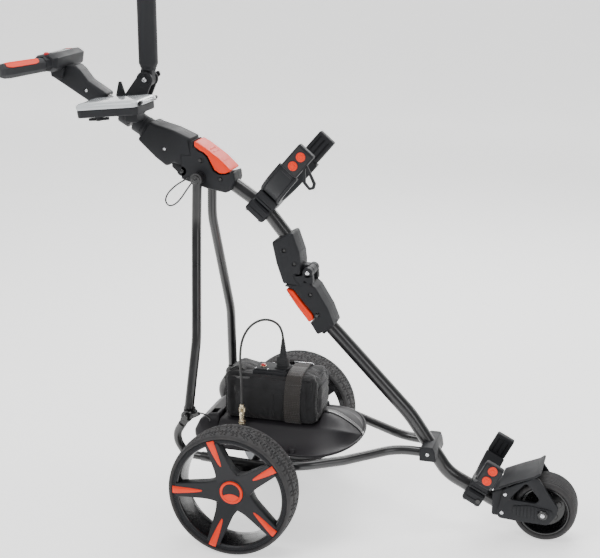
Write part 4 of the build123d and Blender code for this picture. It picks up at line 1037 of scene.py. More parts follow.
def tray_height(x, y):
    """Height of the tray over its rim: flat deck, hollow flanks, and the hump in front of the bag."""
    far = abs(y)
    half = tray_half(x)
    inner = min(74.0, 0.46 * half)
    flank = min(max((far - inner) / max(half - 2.0 - inner, 0.5), 0.0), 1.0)
    fall = sqrt(max(0.0, 1.0 - (max(0.0, x - 146.0) / 86.0) ** 2))
    level = 6.0 * fall + 31.0 * fall * (1.0 - flank) ** 1.9
    hump = 17.0 * smooth_step((x - 132.0) / 9.0) * (1.0 - smooth_step((far - 12.0) / max(0.42 * half, 8.0)))
    return level + hump * (1.0 - smooth_step((x - 150.0) / 78.0))


def make_tray():
    """Fender-like tray with hollow flanks, a rolled rim, a dark gloss strip along its nose's ridge that
    paints the shade of the nose's far side, and two tie points.
    """
    rows = 52
    columns = 72
    places = [TRAY_BACK + (TRAY_TURN - TRAY_BACK) * i / rows for i in range(rows)]
    places += [TRAY_TURN + (TRAY_NOSE - 0.4 - TRAY_TURN) * sin(pi / 2 * i / rows) for i in range(rows + 1)]
    rings = []
    for x in places:
        half = tray_half(x)
        ring = []
        for i in range(columns + 1):
            share = 2 * i / columns - 1
            y = half * share
            ring.append(at(x, y, RIM_UNDER + max(tray_height(x, y), 0.6)))
        rings.append(ring)
    points = [p for ring in rings for p in ring]
    wide = columns + 1
    faces = [[r * wide + i, r * wide + i + 1, (r + 1) * wide + i + 1, (r + 1) * wide + i]
            for r in range(len(rings) - 1) for i in range(columns)]
    start = len(points)
    points += [at(TRAY_BACK, p.y / MM, RIM_UNDER) for p in rings[0]]
    faces += [[i, i + 1, start + i + 1, start + i] for i in range(columns)]
    skin = new_piece("skin", points, faces, "fairing", 38)
    solid = skin.modifiers.new("wall", "SOLIDIFY")
    solid.thickness = 3.2 * MM
    solid.offset = -1.0
    parts = [settle(skin, 38)]
    edge = [(TRAY_BACK + 1, -TRAY_HALF + 1)] + [(x, -tray_half(x) + 1.2) for x in places]
    edge += [(x, tray_half(x) - 1.2) for x in reversed(places)] + [(TRAY_BACK + 1, TRAY_HALF - 1)]
    parts.append(rod("rim", [at(x, y, RIM_UNDER + 3.0) for x, y in edge], 3.2, "fairing", closed=True))
    for side in (-1, 1):
        tie = [(0, 0), (0, 8.8), (8, 8.8), (10.4, 7.6), (11.4, 4.8), (11.6, 0)]
        parts.append(pin("tie", at(102, side * 151, 200.4), UP, tie, "fairing", 32))
    # Dark gloss strip along the nose's ridge: painted shade standing in for the shaded far side of the nose.
    ridge_shade_strip = []
    for k in range(31):
        share = k / 30
        x = 138.0 + 95.0 * sin(pi / 2 * share)
        half = 11.0 * (1.0 - 0.3 * share)
        ring = []
        for i in range(13):
            y = half * (2 * i / 12 - 1)
            lift = 3.0 * sqrt(max(0.0, 1.0 - (2 * i / 12 - 1) ** 4)) - 0.4
            ring.append(at(x, y, RIM_UNDER + max(tray_height(min(x, 230), y), 0.6) + lift))
        for i in range(12, -1, -1):
            y = half * (2 * i / 12 - 1)
            ring.append(at(x, y, RIM_UNDER + max(tray_height(min(x, 230), y), 0.6) - 2.0))
        ridge_shade_strip.append(ring)
    parts.append(stretched("ridge_shade_strip", ridge_shade_strip, "gloss", 50))
    keep(joined("battery_tray_fairing", parts, 38), "chassis", "trim_black", "battery_tray")


def rod(name, route, radius_mm, finish, closed=False, steps=12):
    """A round bar through points in metres; its frame turns as little as possible along the way."""
    count = len(route)
    rings = []
    normal = None
    for i, point in enumerate(route):
        before = route[i - 1] if i or closed else route[0]
        after = route[(i + 1) % count] if closed or i + 1 < count else route[-1]
        heading = (after - before).normalized()
        if normal is None:
            normal = heading.orthogonal().normalized()
        normal = (normal - heading * normal.dot(heading)).normalized()
        other = heading.cross(normal)
        radius = radius_mm * MM
        rings.append([point + radius * (cos(2 * pi * k / steps) * normal + sin(2 * pi * k / steps) * other)
                for k in range(steps)])
    return stretched(name, rings, finish, 40, closed=closed)


def make_cover():
    """Rounded controller cover with a dark cable slot."""
    outline = softened([(-162, 178), (-163, 196), (-150, 222), (-128, 238), (-104, 242), (-99, 238),
            (-99, 178)], 14, 6)
    rings = []
    for k in range(41):
        y = -86 + 172 * k / 40
        y = 86 * sin(pi / 2 * y / 86)
        over = max(0.0, abs(y) - 62.0) / 24.0
        scale = max(0.3, (1.0 - min(over, 1.0) ** 2.6) ** 0.42 if over < 1 else 0.0)
        rings.append([at(-106 + (x + 106) * (0.35 + 0.65 * scale) if x < -106 else x, y,
                178 + (z - 178) * scale)
                for x, z in outline])
    body = stretched("cover", rings, "fairing", 45)
    slot = block("slot", (-124, -62, 226), (-108, -34, 250), "gloss", 0)
    body = cut_away(body, [slot], 45)
    lining = block("lining", (-123, -61, 223), (-109, -35, 229), "rubber", 0)
    keep(joined("controller_hood", [body, lining], 45), "chassis", "trim_black", "controller_cover")


# ---------------------------------------------------------------- battery, bag, strap and lead
BAG_LOW = (-88.0, -62.0, 232.3)
BAG_HIGH = (132.0, 58.0, 342.0)
BAG_CORNER = 13.0
SWELL_LIMIT = 7.0


def swollen(piece, seam_hold, pressure, limit):
    """Sews the piece from slightly too much cloth, blows it up a little, and caps how far it has moved."""
    even = piece.modifiers.new("even", "REMESH")
    even.mode = "VOXEL"
    even.voxel_size = 5 * MM
    settle(piece, 60)
    rest = [vertex.co.copy() for vertex in piece.data.vertices]
    group = piece.vertex_groups.new(name="seams")
    for vertex in piece.data.vertices:
        group.add([vertex.index], seam_hold(vertex.co), "REPLACE")
    cloth = piece.modifiers.new("cloth", "CLOTH")
    cloth.settings.quality = 5
    cloth.settings.mass = 0.25
    cloth.settings.tension_stiffness = 12
    cloth.settings.compression_stiffness = 12
    cloth.settings.bending_stiffness = 0.4
    cloth.settings.use_pressure = True
    cloth.settings.uniform_pressure_force = pressure
    cloth.settings.vertex_group_mass = "seams"
    cloth.settings.shrink_min = -0.055
    cloth.settings.effector_weights.gravity = 0.0
    cloth.point_cache.frame_start = 1
    cloth.point_cache.frame_end = 20
    scene = bpy.context.scene
    for step in range(1, 21):
        scene.frame_set(step)
    settle(piece, 60)
    scene.frame_set(1)
    if len(piece.data.vertices) != len(rest):
        raise ValueError("the cloth pass changed the mesh")
    for vertex, start in zip(piece.data.vertices, rest):
        move = vertex.co - start
        if move.length > limit * MM:
            vertex.co = start + move.normalized() * limit * MM
    return piece


def bag_hold(point):
    """Full hold at the base, along the piped edges and under the terminal plate, none on the panels."""
    x = (point.x - AXLE.x) / MM
    y = point.y / MM
    z = point.z / MM
    if z < BAG_LOW[2] + 5:
        return 1.0
    if -30 < x < 64 and -50 < y < 14 and z > BAG_HIGH[2] - 4:
        return 1.0
    hold = 0.0
    for edge_x in (BAG_LOW[0] + 5, BAG_HIGH[0] - 5):
        if abs(x - edge_x) < 5 and min(abs(y - BAG_LOW[1]), abs(y - BAG_HIGH[1])) < 10:
            hold = 0.8
    return hold


def hugging(tree, centre, heading, gap_mm):
    """The outermost point of a surface seen from inside it along a heading, lifted by a gap."""
    heading = heading.normalized()
    place, _, _, _ = tree.ray_cast(centre + heading * 0.3, -heading)
    if place is None:
        return centre + heading * 0.06
    return place + heading * gap_mm * MM


def band_round(name, tree, x_from, x_to, turns, thick_mm, gap_mm, finish, wave=0.0):
    """Webbing pulled round the bag between two x places, following the bag but flat across its width."""
    across = 9
    outer = []
    middle_y = (BAG_LOW[1] + BAG_HIGH[1]) / 2
    middle_z = (BAG_LOW[2] + BAG_HIGH[2]) / 2 + 6
    for turn in turns:
        heading = Vector((0, cos(turn), sin(turn)))
        reach = 0.0
        for i in range(across):
            x = x_from + (x_to - x_from) * i / (across - 1)
            centre = at(x, middle_y, middle_z)
            reach = max(reach, (hugging(tree, centre, heading, gap_mm) - centre).length)
        outer.append(reach)
    outer = [max(outer[max(0, i - 1)], outer[i],
            outer[min(len(outer) - 1, i + 1)]) for i in range(len(outer))]
    rings = []
    for k, turn in enumerate(turns):
        heading = Vector((0, cos(turn), sin(turn)))
        shift = wave * sin(3 * turn)
        ring = []
        for layer, order in ((thick_mm, range(across)), (0.0, range(across - 1, -1, -1))):
            for i in order:
                x = x_from + shift + (x_to - x_from) * i / (across - 1)
                edge = 0.35 if i in (0, across - 1) and layer else 0.0
                ring.append(at(x, middle_y, middle_z) + heading * (outer[k] + (layer - edge) * MM))
        rings.append(ring)
    return stretched(name, rings, finish, 50)


def make_bag():
    """The padded bag over the battery: swollen fabric, piped edges, a zip flap, end panel and top loop."""
    box = block("bag", BAG_LOW, BAG_HIGH, "fabric", BAG_CORNER, 5)
    bag = swollen(box, bag_hold, 4.0, SWELL_LIMIT)
    base = BAG_LOW[2] * MM
    for vertex in bag.data.vertices:
        place = vertex.co
        x = (place.x - AXLE.x) / MM
        crease = noise.noise(Vector((place.x * 22, place.y * 30, place.z * 46)))
        sag = 1.4 * crease * smooth_step((place.z - base) / 0.02)
        if x > BAG_HIGH[0] - 14:
            sag += 1.6 * sin(place.z * 190 + 3 * crease) * 0.5
        normal = Vector(vertex.normal)
        vertex.co = place + normal * sag * MM
        vertex.co.z = max(vertex.co.z, base)
    subdivided(bag, 1, 70)
    bpy.context.view_layer.update()
    tree = BVHTree.FromObject(bag, bpy.context.evaluated_depsgraph_get())
    centre_y = (BAG_LOW[1] + BAG_HIGH[1]) / 2
    parts = [bag]
    # Piping round the two ends and zip flap along the near top edge.
    for x in (BAG_LOW[0] + 7, BAG_HIGH[0] - 7):
        loop = []
        for k in range(72):
            turn = 2 * pi * k / 72
            heading = Vector((0.10 if x > 0 else -0.10, cos(turn), sin(turn) * 0.95))
            loop.append(hugging(tree, at(x, centre_y, 287), heading, 0.6))
        parts.append(rod("piping", loop, 1.7, "piping", closed=True, steps=10))
    loop = []
    for k in range(44):
        turn = 2 * pi * k / 44
        target = at(BAG_HIGH[0] + 3, centre_y + 42 * superellipse(cos(turn)),
                286 + 36 * superellipse(sin(turn)))
        place, normal, _, _ = tree.find_nearest(target)
        loop.append(place + normal * 0.5 * MM)
    parts.append(rod("panel_seam", loop, 1.3, "piping", closed=True, steps=8))
    for name, y, z in (("zip_flap", -0.86, 0.62), ("flap_edge", 0.86, 0.62)):
        strip = []
        for k in range(61):
            x = BAG_LOW[0] + 9 + (BAG_HIGH[0] - BAG_LOW[0] - 18) * k / 60
            centre = at(x, centre_y, 287)
            low = hugging(tree, centre, Vector((0, y, z * 0.62)), 1.2)
            high = hugging(tree, centre, Vector((0, y, z * 1.30)), 1.2)
            bulge = hugging(tree, centre, Vector((0, y, z * 0.95)), 2.6)
            under = hugging(tree, centre, Vector((0, y, z * 0.95)), -1.0)
            strip.append([low, low.lerp(bulge, 0.5) + (bulge - under) * 0.2, bulge,
                    high.lerp(bulge, 0.5) + (bulge - under) * 0.2, high, under])
        parts.append(stretched(name, strip, "fabric", 60))
    for x in (34, 56):
        line = []
        for k in range(30):
            centre = at(x, centre_y, 240 + 66 * k / 29)
            line.append(hugging(tree, centre, Vector((0, -1, 0)), 0.3))
        parts.append(rod("stitch_line", line, 0.9, "piping", steps=6))
    loop = []
    for k in range(25):
        share = k / 24
        x = -80 + 34 * share
        centre = at(x, -34 + 6 * share, 300)
        loop.append(hugging(tree, centre, UP, 0.6 + 9.5 * sin(pi * share)))
    half = LEFT * 9 * MM
    thick = UP * 2 * MM
    handle = [[place - half, place + half, place + half + thick, place - half + thick] for place in loop]
    parts.append(stretched("top_loop", handle, "piping", 50))
    whole = keep(joined("battery_bag_fabric", parts, 60), "chassis", "fabric", "battery_bag")
    return tree


def superellipse(value):
    """Pushes a sine or cosine outwards so that an ellipse becomes a rounded rectangle."""
    return (1 if value >= 0 else -1) * abs(value) ** 0.6


def make_strap(tree):
    """Webbing over the bag with a doubled end and its buckle behind the bag's top edge."""
    turns = [radians(-52 + 284 * k / 110) for k in range(111)]
    strap = band_round("band", tree, 60, 98, turns, 2.2, 0.6, "webbing", 0.8)
    tail = band_round("tail", tree, 61, 97, [radians(60 + 90 * k / 50) for k in range(51)], 2.0, 3.0,
            "webbing")
    parts = [strap, tail]
    spot = hugging(tree, at(79, -2, 293), Vector((0, cos(radians(58)), sin(radians(58)))), 5.4)
    across = Vector((1, 0, 0))
    along = Vector((0, -sin(radians(58)), cos(radians(58))))
    frame_route = []
    for sx, sy in ((-1, -1), (1, -1), (1, 1), (-1, 1)):
        frame_route.append(spot + across * sx * 21 * MM + along * sy * 8 * MM)
    dense = []
    for a, b in zip(frame_route, frame_route[1:] + frame_route[:1]):
        dense += [a.lerp(b, 0.08), a.lerp(b, 0.5), a.lerp(b, 0.92)]
    parts.append(rod("buckle", dense, 1.8, "zinc", closed=True, steps=12))
    parts.append(rod("bar", [spot - across * 20 * MM, spot + across * 20 * MM], 1.6, "zinc", steps=12))
    keep(joined("battery_webbing", parts, 50), "chassis", "webbing", "battery_strap")


def make_terminals():
    """Terminal plate with the red button, the ribbed plug with its boot, and the nickel connector."""
    plate = [block("plate", (-24, -46, 341), (58, 10, 350), "nylon", 1.6)]
    plate.append(block("step", (-21, -43, 349), (55, 7, 354), "nylon", 1.4))
    plate.append(block("socket", (26, -32, 353), (60, -4, 356), "rubber", 1.0))
    for x in (-18, 12):
        for y in (-40, 4):
            plate.append(socket_screw("screw", at(x, y, 353.9), UP, 2.4, 1.2))
    ring = [(0, 4.6), (0, 7.4), (1.4, 7.4), (2, 6.6), (2, 4.6)]
    plate.append(pin("ring", at(-4, -22, 353.8), UP, ring, "nickel", 40))
    dome = [(0, 0), (0, 5.8), (3, 5.8), (4.8, 5), (5.8, 3), (6.2, 0)]
    plate.append(pin("dome", at(-4, -22, 354), UP, dome, "red", 40))
    keep(joined("terminal_plate", plate), "chassis", "trim_black", "terminal_block")
    plug = [block("plug", (30, -28, 354), (56, -8, 381), "rubber", 2.4)]
    for k in range(4):
        z = 360 + 5 * k
        plug.append(block("rib", (29.2, -28.8, z), (56.8, -7.2, z + 2), "rubber", 0.7, 2))
    boot = [(0, 0), (0, 9.2), (3, 9.4)]
    for k in range(7):
        radius = 8.6 - 0.72 * k
        boot += [(4 + 5.4 * k, radius), (7 + 5.4 * k, radius - 0.1), (7.6 + 5.4 * k, radius - 1.3),
                (8.8 + 5.4 * k, radius - 1.3)]
    boot += [(42.4, 3.4), (42.4, 0)]
    plug.append(pin("boot", at(43, -18, 381), UP, boot, "rubber", 40))
    keep(joined("battery_plug_body", plug), "chassis", "trim_black", "battery_plug")
    profile = [(0, 0), (0, 8.4), (1, 8.6), (4, 8.6), (4.7, 7.8), (5.4, 6.4), (11, 6.2), (11.6, 5.6),
            (12.4, 5.6),
            (13, 6.2), (20, 6.2), (20.7, 7.2), (28, 7.4), (28.7, 6.7), (29.5, 6.2), (41, 6.4),
            (42.4, 6.4),
            (43, 5), (48.6, 4.8), (48.7, 3.2), (48.7, 0)]
    parts = [pin("shell", at(-36, -90, DECK_Z), UP, profile, "nickel", 48)]
    nut = [[at(-36 + 9.0 * cos(radians(60 * k)), -90 + 9.0 * sin(radians(60 * k)), z) for k in range(6)]
           for z in (DECK_Z + 5.2, DECK_Z + 11)]
    parts.append(rounded_edges(stretched("nut", nut, "nickel"), 0.7, 2))
    knurl = []
    for z in (DECK_Z + 30.4, DECK_Z + 40):
        knurl.append([at(-36 + r * cos(pi * k / 36), -90 + r * sin(pi * k / 36), z)
                for k, r in enumerate([7.0, 6.3] * 36)])
    parts.append(stretched("knurl", knurl, "nickel"))
    keep(joined("lead_coupling", parts), "chassis", "nickel", "lead_connector")


# ---------------------------------------------------------------- fold in the middle of the spine
FOLD_PIVOT = (105.0, 591.0)
SEAM_R = 34.5
FOLD_HALF = 31.0
WELL_R = 5.4
WELL_DEEP = 3.0


def arc(centre, radius, start, end, steps=10):
    """Points along an arc between two angles in degrees, kept sharp."""
    return [(centre[0] + radius * cos(radians(start + (end - start) * k / steps)),
            centre[1] + radius * sin(radians(start + (end - start) * k / steps)),
            0) for k in range(steps + 1)]


def recessed(name, piece, spots, half, others=(), cuts=(), finish="gloss"):
    """A moulding with screws sunk in round wells on both sides, joined with its smaller pieces."""
    cuts = list(cuts)
    screws = []
    for x, z in spots:
        for side in (-1, 1):
            well = [(-WELL_DEEP, 0), (-WELL_DEEP, WELL_R), (4, WELL_R), (4, 0)]
            cuts.append(pin("well", at(x, side * half, z), sideways(side), well, "nylon", 32))
            screws.append(socket_screw("screw", at(x, side * (half - WELL_DEEP), z), sideways(side),
                    WELL_R - 1.2,
                    2.0, finish))
    return joined(name, [cut_away(piece, cuts)] + screws + list(others))


def knuckle(name, pivot, radius, y_from, y_to, finish):
    """One barrel of a hinge."""
    centre = at(pivot[0], (y_from + y_to) / 2, pivot[1])
    half = abs(y_to - y_from) / 2
    profile = [(-half, 0), (-half, radius - 1.2), (-half + 1.2, radius), (half - 1.2, radius),
            (half, radius - 1.2), (half, 0)]
    return turned(name, profile, centre, finish, 56)


def make_middle_fold():
    """The two halves of the spine's fold, their knuckles, collars, screws and the orange release pad."""
    upper = [(47, 561), (68, 561), (72, 584), (89, 584), (89, 612), (86, 636), (69, 684), (20, 658),
            (31, 608)]
    hook = [(60, 561.2)] + arc(FOLD_PIVOT, SEAM_R, 240.4, 197.0) + [(80, 584), (60, 584)]
    parts = [prism("hook", softened(hook, 0.5), -30.4, 30.4, "nylon"),
            block("tongue", (82, -13.6, 588), (104, 13.6, 606), "nylon", 3),
            knuckle("knuckle", FOLD_PIVOT, 12, -13.6, 13.6, "nylon")]
    body = recessed("upper_fold_moulding", clamshell("half", upper, FOLD_HALF, "nylon", 5.5, 7),
            [(50, 640), (74, 610)], FOLD_HALF, parts)
    keep(body, "upper_frame", "housing", "upper_joint_shell")
    lower = [(47.5, 560.2), (88, 560.2), (96, 580), (125, 556), (154, 509), (169, 471), (129, 445),
            (110, 475),
            (74, 519)]
    hook = [(80, 556), (80, 560.2)] + arc(FOLD_PIVOT, SEAM_R - 0.8, 238, 197.2) + [(90, 582.6), (99, 579),
            (99, 556)]
    pocket = [(44, 553), (42, 543), (79, 498), (103, 466), (123.5, 481), (120, 495.5), (107, 510),
            (93, 526.5),
            (73, 550), (56, 556)]
    parts = [prism("hook", softened(hook, 0.5), -30.4, 30.4, "nylon")]
    for side in (-1, 1):
        parts.append(shell("ear", [(90, 585), (93, 566), (118, 566), (117, 588)], side * 14.4, side * 31,
                "nylon", 2, 4))
        parts.append(knuckle("knuckle", FOLD_PIVOT, 12, *sorted((side * 14.4, side * 31)), "nylon"))
        parts.append(socket_screw("pivot", at(FOLD_PIVOT[0], side * 30.6, FOLD_PIVOT[1]), sideways(side), 5,
                2.4))
    ring = [(-7, 15), (-7, 22), (-5.5, 24), (4, 24), (6, 22), (6, 15)]
    parts.append(pin("collar", at(150, 0, 461), Vector((0.71, 0, -0.70)), ring, "nylon", 64))
    body = recessed("lower_fold_moulding", clamshell("half", lower, FOLD_HALF, "nylon", 4, 6),
            [(130, 494), (112, 540)], FOLD_HALF, parts,
            [prism("pocket", softened(pocket, 3), -40, 40, "nylon")])
    keep(body, "chassis", "housing", "lower_joint_shell")
    pad = [(51.5, 551), (79, 511), (109, 474), (119.5, 481), (116, 493), (103, 507), (89, 523), (71, 546)]
    latch = [shell("pad", pad, -FOLD_HALF, FOLD_HALF, "orange", 3, 3.4)]
    for k in range(5):
        x, z = 64 + 7.2 * k, 532.5 - 9.0 * k
        rib = [(x - 6.5, z - 2), (x - 2.6, z + 2.6), (x - 1.4, z + 1.2), (x - 5.3, z - 3.4)]
        latch.append(prism("rib", rib, -17, 17, "orange"))
    keep(joined("spine_release_pad", latch), "lower_latch_pad", "accent_orange", "lower_latch")


# ---------------------------------------------------------------- fold under the handle
HANDLE_PIVOT = (-193.0, 811.0)
STRUT_TOP = (-149.0, 799.0)


def make_upper_fold():
    """Frame and handle halves of the upper fold, with the orange release pad along its front edge."""
    front = [(-171, 886), (-141, 870), (-102, 843), (-84, 826), (-68, 812), (-66, 794), (-78, 770),
            (-89, 765), (-134, 773),
            (-190, 790), (-193.6, 793), (-193.6, 848, 1), (-171, 848, 1)]
    pad = [(-162, 883), (-141, 871.5), (-102, 844.5), (-84, 827.5), (-73, 817.5), (-88, 810.5), (-102, 810),
           (-114, 817),
           (-122, 832), (-130, 848), (-140, 857), (-150, 861), (-162, 870)]
    pocket = [(-165, 890), (-139, 880), (-98, 850), (-66, 821), (-71, 813), (-88.5, 807.2), (-104, 806.8),
            (-117.2, 813.8),
            (-125.1, 829), (-132.8, 844.8), (-142.2, 853.7), (-152.2, 857.5), (-165.2, 866.4)]
    cuts = [prism("pocket", softened(pocket, 4), -40, 40, "nylon"),
            prism("fork", [(-216, 829), (-180, 829), (-180, 765), (-216, 765)], -14.4, 14.4, "nylon")]
    parts = []
    for side in (-1, 1):
        parts.append(knuckle("knuckle", HANDLE_PIVOT, 12, *sorted((side * 14.4, side * 31)), "nylon"))
        parts.append(socket_screw("pivot", at(HANDLE_PIVOT[0], side * 30.6, HANDLE_PIVOT[1]),
                sideways(side), 5,
                2.4, "gloss"))
        cap = [(0, 0), (0, 10), (2.2, 10), (3.2, 8.8), (3.4, 0)]
        parts.append(pin("cap", at(STRUT_TOP[0], side * 58.6, STRUT_TOP[1]), sideways(side), cap, "gloss",
                40))
        parts.append(socket_screw("screw", at(STRUT_TOP[0], side * 61.6, STRUT_TOP[1]), sideways(side), 4.4,
                2.2,
                "gloss"))
    heading = Vector((0.836, 0, -0.549))
    ring = [(-6, 15), (-6, 22.5), (-4.6, 24), (3, 24), (5, 22), (5, 15)]
    parts.append(pin("collar", at(-84, 0, 786), heading, ring, "nylon", 64))
    front_half = clamshell("front", front, FOLD_HALF, "nylon", 6, 7.5, lambda x, z: x < -168 and z > 792)
    body = recessed("fold_moulding", front_half, [(-145, 838), (-100, 797)], FOLD_HALF, parts, cuts)
    keep(body, "upper_frame", "housing", "fold_housing")
    back = [(-268, 922), (-256, 916), (-215, 905), (-171.8, 887, 1), (-171.8, 848.8, 1), (-194.4, 848.8, 1),
            (-194.4, 825, 1), (-214, 829), (-226, 822), (-233, 821), (-258, 839), (-287, 866), (-301, 879)]
    parts = []
    tongue = [(-190, 800), (-206, 800), (-224, 816), (-224, 838), (-196, 838), (-190, 822)]
    parts.append(shell("tongue", tongue, -13.6, 13.6, "nylon", 2, 4))
    parts.append(knuckle("knuckle", HANDLE_PIVOT, 12, -13.6, 13.6, "nylon"))
    heading = Vector((-0.859, 0, 0.512))
    ring = [(-8, 16), (-8, 24), (-6.6, 25.5), (4, 25.5), (6, 23.6), (6, 16)]
    parts.append(pin("collar", at(-288, 0, 902), heading, ring, "nylon", 64))
    back_half = clamshell("back", back, FOLD_HALF, "nylon", 6, 7.5, lambda x, z: x > -196 and z < 886)
    body = recessed("stem_moulding", back_half, [(-235, 860)], FOLD_HALF, parts, (), "zinc")
    keep(body, "handle", "housing", "handle_housing")
    latch = [shell("pad", pad, -FOLD_HALF, FOLD_HALF, "orange", 2.6, 4)]
    for k in range(5):
        x, z = -128 + 8 * k, 861.6 - 6.1 * k
        latch.append(prism("rib", [(x - 2, z), (x + 0.4, z + 2.4), (x + 1.8, z + 1.4), (x - 0.8, z - 1.2)],
                -17, 17, "orange"))
    keep(joined("handle_release_pad", latch), "upper_latch_pad", "accent_orange", "upper_latch")


# ---------------------------------------------------------------- bag brackets
UPPER_YOKE = dict(point=(-8, 736), slope=-41, arc_r=84.3, low=38.0, end=132.0, depth=54.0, pad=66.0)
LOWER_YOKE = dict(point=(505, 93), slope=-27, arc_r=106.0, low=32.0, end=64.0, depth=46.0, pad=52.0)
PAD_IN = 77.0
PAD_OUT = 95.0


def yoke_point(yoke, y, up, along):
    """A point by the spine: to the left, up from the spine square to it, and along it."""
    slope = radians(yoke["slope"])
    return at(yoke["point"][0] - sin(slope) * up + cos(slope) * along, y,
            yoke["point"][1] + cos(slope) * up + sin(slope) * along)


def yoke_block(name, yoke, low, high, finish, edge=2.0, segments=3):
    """A box between two corners given as (left, up, along)."""
    rings = []
    for along in (low[2], high[2]):
        rings.append([yoke_point(yoke, y, up, along) for y, up in ((low[0], low[1]), (high[0], low[1]),
                (high[0], high[1]), (low[0], high[1]))])
    piece = stretched(name, rings, finish)
    return rounded_edges(piece, edge, segments) if edge else piece


def cradle_arms(yoke, finish):
    """The curved band of a bag bracket, with a raised rim along both edges."""
    centre = yoke["low"] + yoke["arc_r"]
    rise = yoke["end"] - centre
    if rise < 0:
        reach = acos(max(-1.0, min(1.0, -rise / yoke["arc_r"])))
    else:
        reach = pi / 2 + rise / yoke["arc_r"]
    half = yoke["depth"] / 2
    section = [(-6.4, -half + 1), (-5.4, -half), (4.6, -half), (6.6, -half + 2), (6.6, -half + 6),
            (3.6, -half + 8.5),
            (3.6, half - 8.5), (6.6, half - 6), (6.6, half - 2), (4.6, half), (-5.4, half),
            (-6.4, half - 1)]
    rings = []
    for k in range(49):
        angle = reach * (2 * k / 48 - 1)
        ring = []
        for out, along in section:
            radius = yoke["arc_r"] + out
            ring.append(yoke_point(yoke, radius * sin(angle), centre - radius * cos(angle), along))
        rings.append(ring)
    return stretched("band", rings, finish, 40)


def make_bracket(yoke, prefix, body, bracket_node, pads_node, discs_node):
    """Spine clamp with two curved arms, their pad blocks, and two orange caps on each pad."""
    parts = [cradle_arms(yoke, "nylon")]
    half = yoke["depth"] / 2
    parts.append(yoke_block("saddle", yoke, (-27, 8, -half), (27, 35, half), "nylon", 4))
    parts.append(yoke_block("strap", yoke, (-27, -27, -half), (27, 6, half), "nylon", 6))
    for y in (-21, 21):
        for along in (-half + 8, half - 8):
            heading = yoke_point(yoke, 0, -1, 0) - yoke_point(yoke, 0, 0, 0)
            parts.append(socket_screw("screw", yoke_point(yoke, y, -26.6, along), heading, 3.6, 2.0))
    for side in (-1, 1):
        for up in (-14, 0, 14):
            low, high = (side * 26.5, up - 1.4, -half + 4), (side * 28.6, up + 1.4, half - 4)
            parts.append(yoke_block("rib", yoke, low, high, "nylon", 0.6, 2))
    keep(joined(f"{prefix}_cradle", parts), body, "housing", bracket_node)
    pads = []
    for side in (-1, 1):
        low, high = yoke["end"], yoke["end"] + yoke["pad"]
        y_in, y_out = side * PAD_IN, side * PAD_OUT
        pad = yoke_block("pad", yoke, (min(y_in, y_out), low, -22), (max(y_in, y_out), high, 22), "nylon",
                4, 4)
        slots = [yoke_block("slot", yoke, (y_in - 3, low + 8, along - 2), (y_in + 3, high - 8, along + 2),
                "nylon", 0)
                for along in (-12, 0, 12)]
        pads.append(cut_away(pad, slots))
        pads.append(yoke_block("rim", yoke, (y_out - 1.2, low + 5, -18), (y_out + 1.2, high - 5, 18),
                "rubber", 1, 2))
        post = (side * 84 - 5, low - 10, -16), (side * 84 + 5, low + 6, 16)
        pads.append(yoke_block("post", yoke, *post, "nylon", 2))
    if prefix == "upper":
        outline = [(113, 852), (122, 851), (141, 812), (138, 800), (126, 797), (112, 812)]
        opening = [(117.5, 845), (120, 844), (134.4, 811), (132, 804), (127, 803), (118, 814)]
        hook = prism("hook", softened(outline, 4), -90, -84, "nylon")
        hook = cut_away(hook, [prism("gap", softened(opening, 2.5), -95, -80, "nylon")])
        pads.append(rounded_edges(hook, 1.4, 2))
    keep(joined(f"{prefix}_bag_blocks", pads), body, "trim_black", pads_node)
    discs = []
    for side in (-1, 1):
        for place in (-13.5, 13.5):
            centre = yoke_point(yoke, side * PAD_OUT, yoke["end"] + yoke["pad"] / 2 + place, 0)
            profile = [(-1, 0), (-1, 10.5), (2.6, 10.5), (3.6, 9.6), (3.8, 7.4), (2.8, 6.8), (2.8, 5.2),
                    (3.8, 4.6), (4, 0)]
            discs.append(pin("disc", centre, sideways(side), profile, "orange", 48))
    keep(joined(f"{prefix}_bag_caps", discs), body, "accent_orange", discs_node)


def make_brackets():
    make_bracket(UPPER_YOKE, "upper", "upper_frame", "upper_bag_bracket", "upper_bag_pads",
            "upper_pad_discs")
    make_bracket(LOWER_YOKE, "lower", "chassis", "lower_bag_bracket", "lower_bag_pads", "lower_pad_discs")


# ---------------------------------------------------------------- handle head
GRIP_ROOT = (-498.0, 80.0, 1050.0)
GRIP_END = (-566.0, 168.0, 1041.0)
BUTTON_AT = (-500.0, -66.0)


def grip_axes(side):
    """A grip's two ends and its three directions."""
    root = at(GRIP_ROOT[0], side * GRIP_ROOT[1], GRIP_ROOT[2])
    end = at(GRIP_END[0], side * GRIP_END[1], GRIP_END[2])
    along = (end - root).normalized()
    across = along.cross(UP).normalized()
    return root, end, along, across, across.cross(along)


